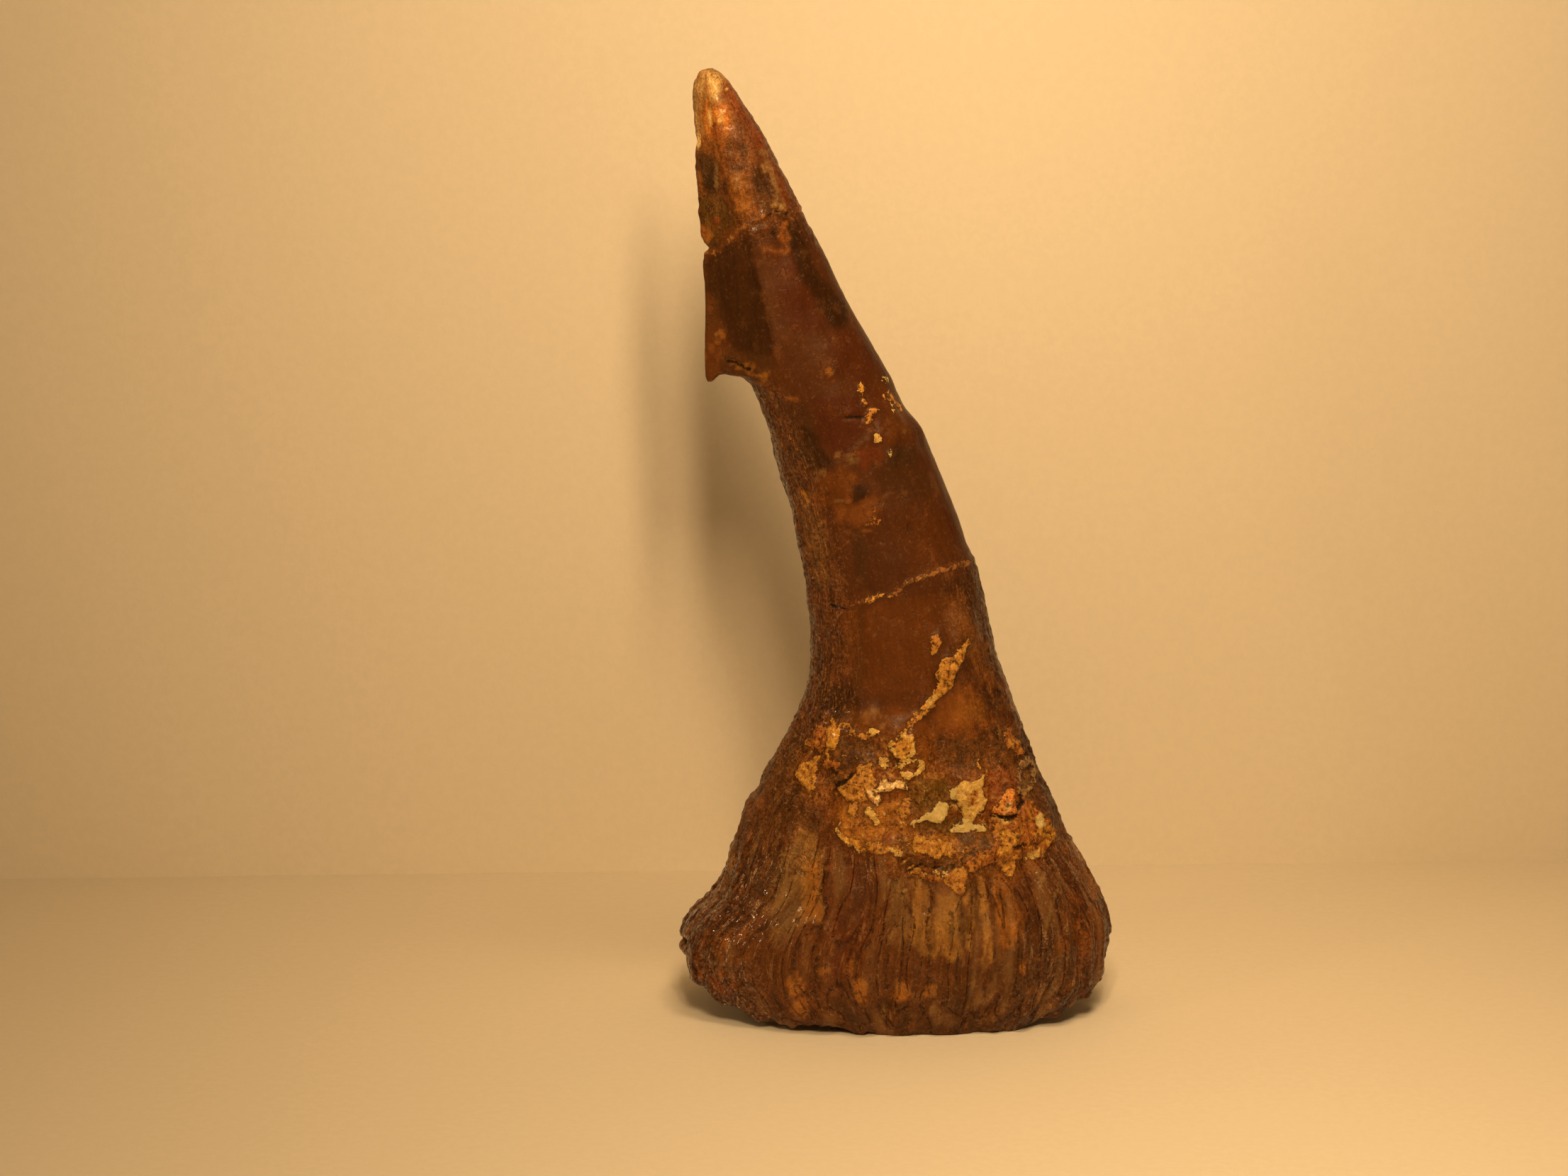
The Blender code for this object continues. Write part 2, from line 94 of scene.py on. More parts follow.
# Broad areas of colour on the front, laid in this order:
# (colour, strength, softness of the edge, grain of the edge, corners of the outline)
FRONT_AREAS = (
    # tip
    ("sienna", 0.6, 0.5, "streaky", ((-15, 56), (-15, 64.5), (-11, 64.5), (-8, 60), (-7, 58), (-10, 58),
        (-13, 55.6))),
    ("chestnut", 0.9, 0.8, "streaky", ((-15, 63.2), (-15, 70), (-12, 70), (-11.4, 66.5), (-11.8, 63.8),
        (-13, 62.6))),
    ("horn", 0.9, 0.3, "blotchy", ((-15, 64.2), (-15, 70), (-11, 70), (-11.4, 67.9), (-12.6, 68.3),
        (-13.6, 68.6), (-13.9, 66.4), (-14, 64.4))),
    ("amber", 0.8, 0.35, "streaky", ((-13.9, 64.4), (-13.7, 66.6), (-12.9, 66.4), (-12.1, 66.4), (-12, 64.9),
        (-12.8, 64.5), (-13.3, 64.2))),
    # pale enamel at the top of the tip, with its highlight painted in
    ("cream", 0.7, 0.3, "streaky", ((-13.9, 68.7), (-13.3, 68.8), (-12.6, 68.3), (-12.5, 67), (-13, 66.7),
        (-13.5, 67.3))),
    ("rust", 0.9, 0.3, "streaky", ((-12.6, 67.9), (-12, 67.9), (-10.6, 66.2), (-9.9, 64.8), (-9.4, 63.4),
        (-10.2, 63.4), (-11, 65.4), (-12.1, 66.6))),
    ("rust", 0.6, 0.4, "streaky", ((-10.6, 64.4), (-9.6, 64.4), (-8, 61), (-7.2, 59), (-8.2, 59),
        (-9.2, 61.4))),
    ("slate", 0.6, 0.3, "blotchy", ((-14.6, 63.3), (-13.4, 63.1), (-12.7, 62.2), (-12.8, 60.2),
        (-13.4, 59.8), (-14.4, 60.6))),
    ("bister", 0.95, 0.22, "soft", ((-13.8, 61.4), (-13, 61.4), (-12.9, 60.5), (-13.4, 60.1), (-13.8, 60.4))),
    ("bister", 0.9, 0.2, "soft", ((-12.3, 62.2), (-11.7, 62.5), (-11, 62.3), (-11, 61.9), (-11.8, 61.8))),
    ("bister", 0.9, 0.3, "blotchy", ((-10.3, 62.6), (-9.6, 62.9), (-9, 61.2), (-8.7, 60), (-9.2, 59.9),
        (-9.8, 60.3), (-10.3, 61.2))),
    ("ash", 0.6, 0.15, "crumbs", ((-9.9, 63.3), (-9.6, 63.4), (-8.8, 61.4), (-8.2, 59.9), (-8.6, 59.7),
        (-9.2, 61.2))),
    ("clay", 0.8, 0.3, "blotchy", ((-12, 61.6), (-11.2, 61.8), (-10.8, 60.9), (-11.2, 60.2), (-11.9, 60.6))),
    ("clay", 0.8, 0.25, "blotchy", ((-11.8, 60.2), (-10.6, 60.2), (-10.2, 59.2), (-10.5, 58.6),
        (-11.4, 58.7))),
    ("umber", 0.8, 0.3, "blotchy", ((-10, 60.2), (-8.8, 60), (-7.4, 58.8), (-8, 58.5), (-9.8, 58.8))),
    ("umber", 0.7, 0.3, "blotchy", ((-14.2, 59.8), (-12.6, 60), (-11.6, 58.6), (-12.4, 57.6), (-14, 58))),
    ("plum", 0.7, 0.4, "streaky", ((-11.6, 65.4), (-10.6, 65), (-9.8, 62.8), (-11.2, 61.6), (-12.2, 62.8))),
    ("olive", 0.6, 0.5, "streaky", ((-14.6, 60), (-12.6, 60), (-11.6, 58.4), (-13.2, 56.2), (-14.6, 56.2))),
    # cap
    ("bister", 0.88, 0.25, "soft", ((-13.2, 55.6), (-11.3, 57.1), (-10.4, 57.4), (-10, 55), (-9.2, 52),
        (-8.7, 50), (-9, 48.8), (-10.3, 48.6), (-11.7, 49), (-12.6, 51), (-13.5, 53.4), (-13.9, 55))),
    ("plum", 0.35, 0.4, "soft", ((-11.8, 56.8), (-10.4, 57.4), (-10.2, 55.2), (-11.2, 54.8))),
    ("umber", 0.6, 0.4, "streaky", ((-15, 52.6), (-13.4, 54.6), (-12.6, 53), (-12.4, 50), (-15, 49.6))),
    ("sienna", 0.35, 0.4, "blotchy", ((-15, 53), (-13.3, 53), (-12.7, 50.4), (-12.2, 49), (-12.9, 46.6),
        (-15, 46.6))),
    ("umber", 0.7, 0.4, "soft", ((-12.6, 49), (-9.4, 48.8), (-8.6, 48.2), (-9.6, 47.2), (-12.6, 47.2))),
    ("plum", 0.8, 0.3, "soft", ((-10.2, 57.4), (-9.2, 57.2), (-8.8, 54.6), (-7.9, 51.4), (-7.8, 49.6),
        (-8.8, 50), (-9.2, 52.2), (-10, 55))),
    ("oxblood", 0.8, 0.6, "soft", ((-9, 56), (-7.4, 56), (-6.6, 54), (-5.4, 51.8), (-5.2, 50.2),
        (-7.4, 50.2), (-8.6, 53))),
    ("bister", 0.95, 0.35, "soft", ((-8.6, 58.8), (-7, 58.3), (-6.6, 56.8), (-5.9, 54.9), (-5.1, 53.9),
        (-4.4, 53), (-3.7, 52.3), (-3.5, 51.1), (-4.2, 50.5), (-4.9, 50.9), (-5.6, 52), (-6.3, 53.3),
        (-7.1, 54.3), (-7.5, 55.6), (-7.9, 56.8))),
    ("chestnut", 1, 0.1, "blotchy", ((-9.7, 56.9), (-9.2, 56.7), (-8.6, 56.3), (-8, 56.4), (-8.3, 57.3),
        (-8.4, 58.2), (-8, 58.3), (-7.7, 57), (-7.9, 56), (-8.8, 55.9), (-9.6, 56))),
    ("sienna", 0.6, 0.3, "blotchy", ((-5.9, 56.9), (-5.4, 56.9), (-2.9, 52), (-2.4, 50), (-3, 50.2),
        (-3.6, 52.2))),
    ("plum", 0.6, 0.5, "blotchy", ((-8.4, 50.2), (-5.8, 50.4), (-5.2, 48.4), (-6.4, 47.2), (-8.6, 48))),
    ("oxblood", 0.7, 0.5, "soft", ((-5, 50.6), (-2.8, 50.4), (-1.4, 47.8), (-2.6, 46.8), (-4.8, 47.8))),
    ("ochre", 0.5, 0.12, "crumbs", ((-12, 48.2), (-10.2, 48.2), (-9, 47.4), (-8.7, 46.3), (-9.5, 46.6),
        (-10.4, 47.5), (-12, 47.6))),
    # upper shaft
    ("umber", 0.7, 0.4, "soft", ((-8, 45.2), (-6.5, 45.4), (-5.9, 44.4), (-5.7, 43), (-6.4, 40.4),
        (-7.4, 41.6), (-7.9, 43.8))),
    ("bister", 0.95, 0.25, "soft", ((-6.7, 43.6), (-5.8, 43), (-5.2, 41.8), (-4.4, 41.1), (-5.4, 40.3),
        (-6, 40), (-6.6, 40.9), (-6.9, 42.2))),
    ("oxblood", 0.85, 0.35, "soft", ((-6, 45.8), (-4, 46.2), (-2.4, 45.6), (-2.2, 43.8), (-3, 42.4),
        (-4.6, 41.8), (-5.7, 43.2))),
    ("sienna", 0.8, 0.25, "blotchy", ((-6, 39.9), (-5, 40.5), (-3.9, 41), (-3.2, 40.4), (-2.9, 39.6),
        (-3.1, 38.2), (-5.6, 38))),
    ("ash", 0.6, 0.12, "crumbs", ((-6.3, 39.9), (-5.2, 40.7), (-4.1, 41.1), (-3.4, 41.9), (-2.5, 42.7),
        (-1.9, 42.9), (-2.3, 42.2), (-3.1, 41.3), (-3.9, 40.7), (-5, 40.1))),
    ("bister", 0.95, 0.15, "soft", ((-3.3, 39.5), (-2.6, 39.6), (-2, 39.4), (-2.2, 38.7), (-2.7, 38.1),
        (-3.2, 38.3))),
    ("chestnut", 0.6, 0.25, "blotchy", ((-2.5, 38.7), (-1.7, 39), (-1.2, 38.2), (-1.5, 36.6), (-2.3, 36.4),
        (-4.4, 36.9), (-4.6, 38), (-3.2, 38))),
    ("rust", 0.75, 0.3, "blotchy", ((-2.6, 42.4), (-1.6, 42.4), (-0.7, 41.9), (-1.2, 41.1), (-2.4, 40.9),
        (-3, 41.6))),
    ("sienna", 0.5, 0.3, "blotchy", ((-2.2, 46.6), (-0.8, 46.4), (0.6, 44.8), (0.9, 43.4), (-0.4, 42.3),
        (-1.2, 42), (-2.1, 43.2))),
    ("oxblood", 0.7, 0.4, "blotchy", ((-3, 47.2), (-1.8, 47.2), (-0.8, 44.6), (-0.8, 42.4), (-2, 42.2),
        (-2.8, 44.4))),
    ("slate", 0.75, 0.3, "blotchy", ((-0.9, 42), (0.2, 42.3), (1.3, 41.9), (1.4, 41), (0.2, 40.7),
        (-0.9, 41))),
    ("umber", 0.65, 0.5, "soft", ((-1.8, 40.9), (0.6, 41), (2, 40.6), (2.6, 38.4), (0.4, 38.2), (-1, 39))),
    ("umber", 0.85, 0.3, "soft", ((-3.3, 36.2), (-2.3, 36.2), (-2.1, 34.8), (-2.3, 32.4), (-2.9, 32.2),
        (-3.3, 34.6))),
    ("umber", 0.2, 0.4, "soft", ((-2.3, 35), (0.4, 34.8), (0.6, 33), (-0.4, 32), (-2.3, 31.6))),
    ("sienna", 0.3, 0.5, "blotchy", ((0.4, 37), (3.2, 37.2), (4, 34.4), (3.2, 33.4), (1, 33.2))),
    ("tan", 0.35, 0.3, "streaky", ((-7.2, 38.4), (-6.2, 38.6), (-4.6, 34.6), (-4.8, 32), (-6, 32),
        (-6.8, 35))),
    # lower shaft
    ("sienna", 0.75, 0.7, "soft", ((-4, 31), (2.8, 31.6), (3, 29), (2.6, 24.6), (-2, 24.2), (-3.4, 26))),
    ("umber", 0.5, 0.3, "streaky", ((-3.1, 31), (-2.3, 31), (-2.2, 24), (-3, 23.8))),
    ("umber", 0.6, 0.35, "streaky", ((3.4, 32.6), (5.8, 33.6), (8.6, 26), (9.6, 21), (7.4, 21.4), (5.2, 26))),
    ("clay", 0.5, 0.4, "streaky", ((3.2, 31.4), (4.8, 31.6), (7, 25), (6, 24.6), (5, 27), (3.6, 29))),
    ("chestnut", 0.8, 0.5, "blotchy", ((3.1, 24.6), (4.4, 25.2), (5.4, 24.8), (5.8, 22.8), (5.2, 21.8),
        (3.2, 22), (2.6, 22.6))),
    ("clay", 0.5, 0.3, "crumbs", ((6.6, 25.6), (7.6, 25.4), (8.6, 22.6), (7.6, 22.2), (6.8, 23.6))),
    ("ochre", 0.4, 0.4, "blotchy", ((4, 24.4), (6.4, 24), (6.6, 22), (4.4, 22))),
    ("bister", 0.85, 0.35, "soft", ((-5.6, 24.6), (-3.2, 24.8), (-2.6, 23.8), (-2.6, 22), (-4.4, 22.4),
        (-5.8, 23.2))),
    ("sienna", 0.5, 0.35, "blotchy", ((-1, 24.2), (1.4, 24.2), (1.6, 22.8), (0.4, 21.8), (-1, 21.6))),
    ("clay", 0.4, 0.6, "blotchy", ((-3.6, 23.2), (-2, 23.6), (-0.8, 23), (-1, 22), (-2.2, 21.6),
        (-3.6, 22.2))),
    ("horn", 0.6, 0.2, "crumbs", ((-2.6, 23), (-1.6, 23.4), (-0.8, 23), (-0.9, 22.2), (-2, 22))),
    ("rust_crust", 0.5, 0.4, "crumbs", ((-3.4, 22.8), (0, 23.4), (2.4, 22.8), (6.6, 22.4), (8, 21),
        (5, 19.4), (-3.4, 20.4))),
    # the crusted band round the top of the root
    ("sienna", 0.9, 0.5, "blotchy", ((-7.9, 18.6), (-6.6, 20.6), (-5.2, 22.2), (-3.4, 22.2), (-1, 21.6),
        (1.6, 22.4), (3, 21.8), (6.6, 21.6), (8.6, 22), (10.2, 18.4), (11.6, 15.6), (12.2, 12.8),
        (10.2, 11.6), (8, 10.8), (5.6, 11.8), (4.4, 10), (2.4, 10.8), (0.4, 12.2), (-2.2, 12.9),
        (-3.8, 13.6), (-4.7, 15), (-5.6, 16.4), (-7.6, 16.6))),
    ("ochre", 0.65, 0.3, "blotchy", ((-4.4, 16.6), (-1.2, 16.8), (0.8, 17.4), (1.2, 15.2), (4, 14.6),
        (6.4, 15), (7.4, 14), (6.6, 12.4), (4.4, 13), (0.6, 13.4), (-2.4, 13.3), (-4, 14.4))),
    ("umber", 0.85, 0.25, "blotchy", ((-4, 21.3), (-2.4, 21.2), (-1.2, 20.6), (-1, 19.4), (-2, 19.7),
        (-3.2, 19.2), (-4.2, 18.6), (-5.2, 18.9), (-4.9, 20))),
    ("bister", 0.8, 0.2, "blotchy", ((-5.3, 18.9), (-4.4, 18.9), (-3.6, 18.2), (-4.2, 17.6), (-5.4, 17.6))),
    ("umber", 0.8, 0.3, "blotchy", ((2.6, 21.3), (4.4, 21.4), (5.6, 20.4), (4.6, 19.2), (3, 19.4))),
    ("bister", 0.85, 0.2, "blotchy", ((6.7, 21.6), (7.9, 21.6), (7.9, 20.1), (7.3, 19.7), (6.8, 20.2))),
    ("olive", 0.85, 0.5, "blotchy", ((0.9, 18.3), (1.8, 18.7), (3.6, 18.5), (4.2, 17.6), (3.8, 16.3),
        (1.2, 16.2), (0.8, 17.2))),
    ("olive", 0.8, 0.2, "blotchy", ((1, 15.7), (4.4, 15.7), (5, 15.2), (4.4, 14.2), (2, 14.8), (1.2, 15.2))),
    ("umber", 0.95, 0.2, "blotchy", ((4.2, 14.7), (6.6, 14.7), (6.9, 13.6), (6.2, 13), (4.5, 13.1))),
    ("umber", 0.8, 0.6, "blotchy", ((4.9, 21.2), (7, 21.8), (9.4, 20.8), (11.6, 15.4), (10.2, 15.6),
        (8.8, 18.2), (7, 19), (4.9, 19.2))),
    ("bister", 0.9, 0.5, "blotchy", ((8.4, 20.8), (9.8, 20.6), (12.8, 13.6), (11.6, 14.2), (10.6, 16.6),
        (9.2, 19))),
    ("umber", 0.75, 0.6, "blotchy", ((-9.8, 17.6), (-7, 21.4), (-6.2, 20.8), (-7.6, 18.2), (-6.4, 16.6),
        (-5, 14.8), (-8.6, 14.4))),
    ("rust", 0.7, 0.25, "blotchy", ((6.4, 18.4), (7.6, 19), (9, 17.8), (9.2, 16.2), (8.4, 15.2), (7, 15.2),
        (6.2, 16.4))),
    ("umber", 0.7, 0.25, "blotchy", ((9.8, 19.4), (10.6, 18.4), (12, 15), (13, 12.6), (11.6, 12.4),
        (10.9, 14.6), (10.2, 16.6), (9.2, 18.6))),
    ("umber", 0.85, 0.25, "blotchy", ((0.9, 13.2), (4.4, 13), (6, 12), (4, 11.9), (2, 12.4), (0.8, 12.5))),
    # root
    ("oxblood", 0.75, 0.4, "streaky", ((-5.2, 14.6), (-2.4, 13.2), (-2.2, 8), (-2.8, 4.4), (-5, 4.4))),
    ("umber", 0.6, 0.4, "streaky", ((-10.4, 15), (-8.4, 15), (-8, 9.6), (-10.2, 8.6))),
    ("ash", 0.6, 0.3, "streaky", ((-8.4, 12.6), (-6.9, 13.6), (-6.8, 8.2), (-8.8, 6.6), (-9.3, 8.6))),
    ("tan", 0.9, 0.15, "streaky", ((-7.1, 14.8), (-5.8, 14.2), (-5.3, 12), (-5.5, 8.6), (-6.8, 8.2),
        (-6.9, 11.4))),
    ("clay", 0.75, 0.2, "streaky", ((-6.4, 12.4), (-5.6, 12.4), (-5.5, 8.8), (-6.4, 8.6))),
    ("ash", 0.5, 0.3, "streaky", ((-0.8, 11.4), (0.7, 11.6), (0.9, 7.4), (-0.6, 7))),
    ("tan", 0.85, 0.2, "streaky", ((0.9, 11.6), (2.2, 11.3), (2.4, 6.2), (1.2, 6.2))),
    ("tan", 0.95, 0.2, "streaky", ((2.5, 10.9), (4.3, 10.7), (4.7, 5.6), (2.7, 5.7))),
    ("tan", 1, 0.15, "streaky", ((4.6, 10.4), (5.3, 10.6), (5.8, 5.5), (5, 5.5))),
    ("tan", 1, 0.15, "streaky", ((5.7, 11.8), (6.5, 11.8), (6.9, 5.4), (6.2, 5.3))),
    ("clay", 0.95, 0.2, "streaky", ((6.9, 11.2), (8.1, 11.1), (8.8, 8.6), (9.1, 7.3), (8.5, 6.4), (7, 6.4),
        (7.1, 8.4))),
    ("ash", 0.45, 0.2, "streaky", ((3.4, 10.6), (4.2, 10.6), (4.5, 7.4), (3.7, 7.2))),
    ("umber", 0.9, 0.12, "streaky", ((4.35, 10.6), (4.6, 10.6), (4.95, 6.2), (4.7, 6.2))),
    ("umber", 0.9, 0.12, "streaky", ((5.35, 11.2), (5.65, 11.2), (6.15, 6), (5.85, 6))),
    ("umber", 0.85, 0.12, "streaky", ((6.6, 11.4), (6.85, 11.4), (7.05, 7), (6.85, 7))),
    ("umber", 0.8, 0.12, "streaky", ((2.3, 11), (2.5, 11), (2.65, 6.6), (2.45, 6.6))),
    ("bister", 0.45, 0.5, "streaky", ((2.6, 5.6), (4.6, 5.4), (6.8, 5.1), (8.4, 6.1), (9, 7.2), (9.6, 9.6),
        (13, 9), (13.4, 3), (10, 0), (2, 0))),
    ("sienna", 0.6, 0.5, "blotchy", ((12.8, 9.4), (14.4, 9.6), (15.6, 6.8), (14.8, 3.6), (12.8, 3.8))),
    ("clay", 0.55, 0.3, "soft", ((12.4, 12.8), (13.4, 12), (15.3, 8.6), (14.9, 8.2), (13.4, 10),
        (12.4, 11.8))),
    ("umber", 0.4, 0.6, "streaky", ((-4.8, 3), (2, 2.6), (3, 0), (-6, 0))),
    ("umber", 0.4, 0.5, "streaky", ((4.4, 5.2), (8.6, 6), (9.8, 8.6), (12.8, 5), (12.8, 1), (4.8, 0.2))),
)

# Small stains on the bone and enamel, with painted highlights among them at the tip:
# (colour, x, height, half width, half height, lean in degrees, strength, grain of the edge)
FRONT_STAINS = (
    # Painted highlights: the cream at (-13.1, 67.6) is pale enamel with the tip's highlight painted in, and
    # the cream at (-13.4, 65.6) and (-12.6, 65.5) is highlights on the orange enamel.
    ("cream", -13.1, 67.6, 0.4, 0.9, 0, 0.55, "soft"),
    ("cream", -13.4, 65.6, 0.14, 0.6, 0, 0.8, "soft"),
    ("cream", -12.6, 65.5, 0.2, 0.5, 0, 0.7, "soft"),
    ("cream", -12.15, 67.6, 0.12, 0.14, 0, 0.9, "soft"),
    ("cream", -14.3, 63.8, 0.2, 0.5, 0, 0.95, "soft"),
    ("rust", -12.35, 67.3, 0.22, 0.3, 0, 0.9, "soft"),
    ("horn", -8.25, 59.35, 0.25, 0.22, 0, 0.9, "soft"),
    ("slate", -13.6, 61.8, 0.45, 1.3, 0, 0.6, "blotchy"),
    ("ash", -12.95, 61.5, 0.13, 0.9, 0, 0.8, "soft"),
    ("ash", -11.5, 61.2, 0.25, 0.5, 0, 0.8, "blotchy"),
    ("ash", -8.8, 61, 0.15, 1, 14, 0.5, "soft"),
    ("horn", -8.7, 59.5, 0.25, 0.17, 0, 0.8, "soft"),
    ("slate", -11, 63.4, 0.35, 0.6, 10, 0.6, "blotchy"),
    ("slate", -12, 63.6, 0.25, 0.7, 0, 0.5, "streaky"),
    ("bister", -12.2, 60.9, 0.25, 0.6, 0, 0.8, "blotchy"),
    ("bister", -13.6, 58.9, 0.4, 0.35, 0, 0.7, "blotchy"),
    ("rust", -13, 58.2, 0.4, 0.3, 0, 0.7, "blotchy"),
    ("rust", -12.9, 64.6, 0.3, 0.7, 0, 0.7, "streaky"),
    ("bister", -10.9, 59, 0.2, 0.3, 0, 0.5, "blotchy"),
    ("chestnut", -14.2, 61, 0.25, 0.8, 0, 0.5, "blotchy"),
    ("chestnut", -13.9, 57.2, 0.5, 0.6, 0, 0.8, "blotchy"),
    ("bister", -13.2, 53, 0.5, 0.7, 0, 0.4, "blotchy"),
    ("clay", -12.6, 50, 0.3, 0.18, -30, 0.8, "blotchy"),
    ("clay", -13.4, 49, 0.25, 0.3, 0, 0.4, "blotchy"),
    ("ochre", -13.5, 56.9, 0.2, 0.6, -30, 0.7, "streaky"),
    ("bister", -8.9, 57.6, 0.35, 0.5, 0, 0.8, "soft"),
    ("bister", -4.3, 51.6, 0.6, 0.8, 24, 0.9, "soft"),
    ("bister", -6.6, 55, 0.35, 1.2, 24, 0.7, "streaky"),
    ("bister", -10.2, 49.4, 0.8, 0.5, 0, 0.5, "soft"),
    ("horn", -13, 49.9, 0.14, 0.1, 0, 0.8, "soft"),
    ("clay", -12.9, 49.4, 0.2, 0.14, 0, 0.7, "soft"),
    ("clay", -13.8, 48.3, 0.14, 0.2, 0, 0.7, "soft"),
    ("ochre", -4.9, 47.6, 0.25, 0.3, 0, 0.7, "blotchy"),
    ("ochre", -4.55, 46.9, 0.2, 0.25, 0, 0.7, "blotchy"),
    ("clay", -7.5, 45.65, 0.5, 0.16, -14, 0.9, "soft"),
    ("horn", -4.3, 41.7, 0.22, 0.13, 0, 0.9, "soft"),
    ("horn", -3.35, 41.3, 0.18, 0.1, -14, 0.9, "soft"),
    ("clay", -3.1, 41.75, 0.28, 0.12, 0, 0.8, "soft"),
    ("clay", -3.2, 40.2, 0.12, 0.3, 14, 0.9, "soft"),
    ("ash", -4.2, 38.35, 0.4, 0.14, 0, 0.8, "soft"),
    ("clay", -3.5, 38.45, 0.25, 0.1, 0, 0.8, "soft"),
    ("clay", -2.2, 36.25, 0.35, 0.14, -10, 0.8, "soft"),
    ("ochre", -6.6, 38.5, 0.2, 0.6, 40, 0.95, "soft"),
    ("ash", 2.6, 39.4, 0.2, 0.7, 20, 0.3, "blotchy"),
    ("ash", 0.5, 43.2, 0.16, 0.16, 0, 0.8, "soft"),
    ("bister", 0.8, 36.4, 0.2, 0.4, 0, 0.7, "blotchy"),
    ("ash", -1.65, 28.7, 0.1, 0.2, 0, 0.7, "soft"),
    ("clay", -2, 29.1, 0.1, 0.12, 0, 0.7, "soft"),
    ("ash", 2.3, 30.4, 0.08, 0.12, 0, 0.7, "soft"),
    ("ash", 3.2, 30.2, 0.07, 0.18, 0, 0.7, "soft"),
    ("rust", -0.7, 14.4, 0.3, 0.4, 0, 0.9, "soft"),
    ("rust", 6.6, 12.6, 0.6, 0.3, 0, 0.9, "blotchy"),
    ("ash", 7.5, 21.2, 0.25, 0.4, 0, 0.9, "blotchy"),
    ("ash", 9.5, 17, 0.35, 0.9, 0, 0.7, "blotchy"),
    ("cream", 0.45, 10.7, 0.12, 0.12, 0, 1, "soft"),
    ("ash", 0.1, 11, 0.08, 0.5, 0, 0.8, "soft"),
    ("ash", 0.5, 10.2, 0.2, 0.2, 0, 0.8, "soft"),
    ("clay", -12.4, 6.2, 0.3, 0.3, 0, 0.9, "soft"),
    ("clay", -7.3, 4, 0.42, 0.85, 0, 0.95, "blotchy"),
    ("clay", -2.7, 3.7, 0.62, 0.75, 0, 0.95, "blotchy"),
    ("clay", 0.35, 3.7, 0.55, 0.95, -24, 0.98, "blotchy"),
    ("clay", -7, 2, 0.6, 0.6, 0, 0.7, "blotchy"),
    ("clay", -3.2, 5.2, 0.4, 0.5, 0, 0.5, "blotchy"),
    ("clay", 9.1, 4.8, 0.25, 0.45, 8, 0.95, "soft"),
    ("plum", 3, 4.2, 0.9, 0.9, 0, 0.5, "blotchy"),
    ("clay", 2.3, 3.6, 0.4, 0.6, 0, 0.8, "blotchy"),
    ("sienna", 12, 6.2, 0.5, 1.1, -16, 0.6, "streaky"),
    ("ash", 2.5, 2, 0.2, 0.35, 0, 0.6, "soft"),
    ("ash", 1, 1.6, 0.2, 0.25, 0, 0.6, "soft"),
    ("ash", -1, 2, 0.12, 0.6, 0, 0.6, "soft"),
    ("clay", -5.4, 4.9, 0.7, 0.4, 0, 0.5, "blotchy"),
    ("clay", -11.9, 10.9, 0.25, 0.5, 0, 0.6, "blotchy"),
    ("ash", 11.2, 8.9, 0.12, 1.6, -18, 0.6, "streaky"),
    ("ash", 10.5, 10.8, 0.14, 0.7, -20, 0.7, "streaky"),
    ("sienna", 12.4, 8.4, 0.5, 1, -16, 0.5, "blotchy"),
    ("sienna", 13.6, 6.4, 0.6, 0.9, 0, 0.7, "blotchy"),
    ("umber", -3.9, 10.4, 0.35, 1.4, 0, 0.7, "streaky"),
    ("sienna", -13.4, 4.6, 1.4, 2, 0, 0.6, "blotchy"),
    ("rust", -12.6, 3, 0.9, 0.5, 0, 0.5, "blotchy"),
)

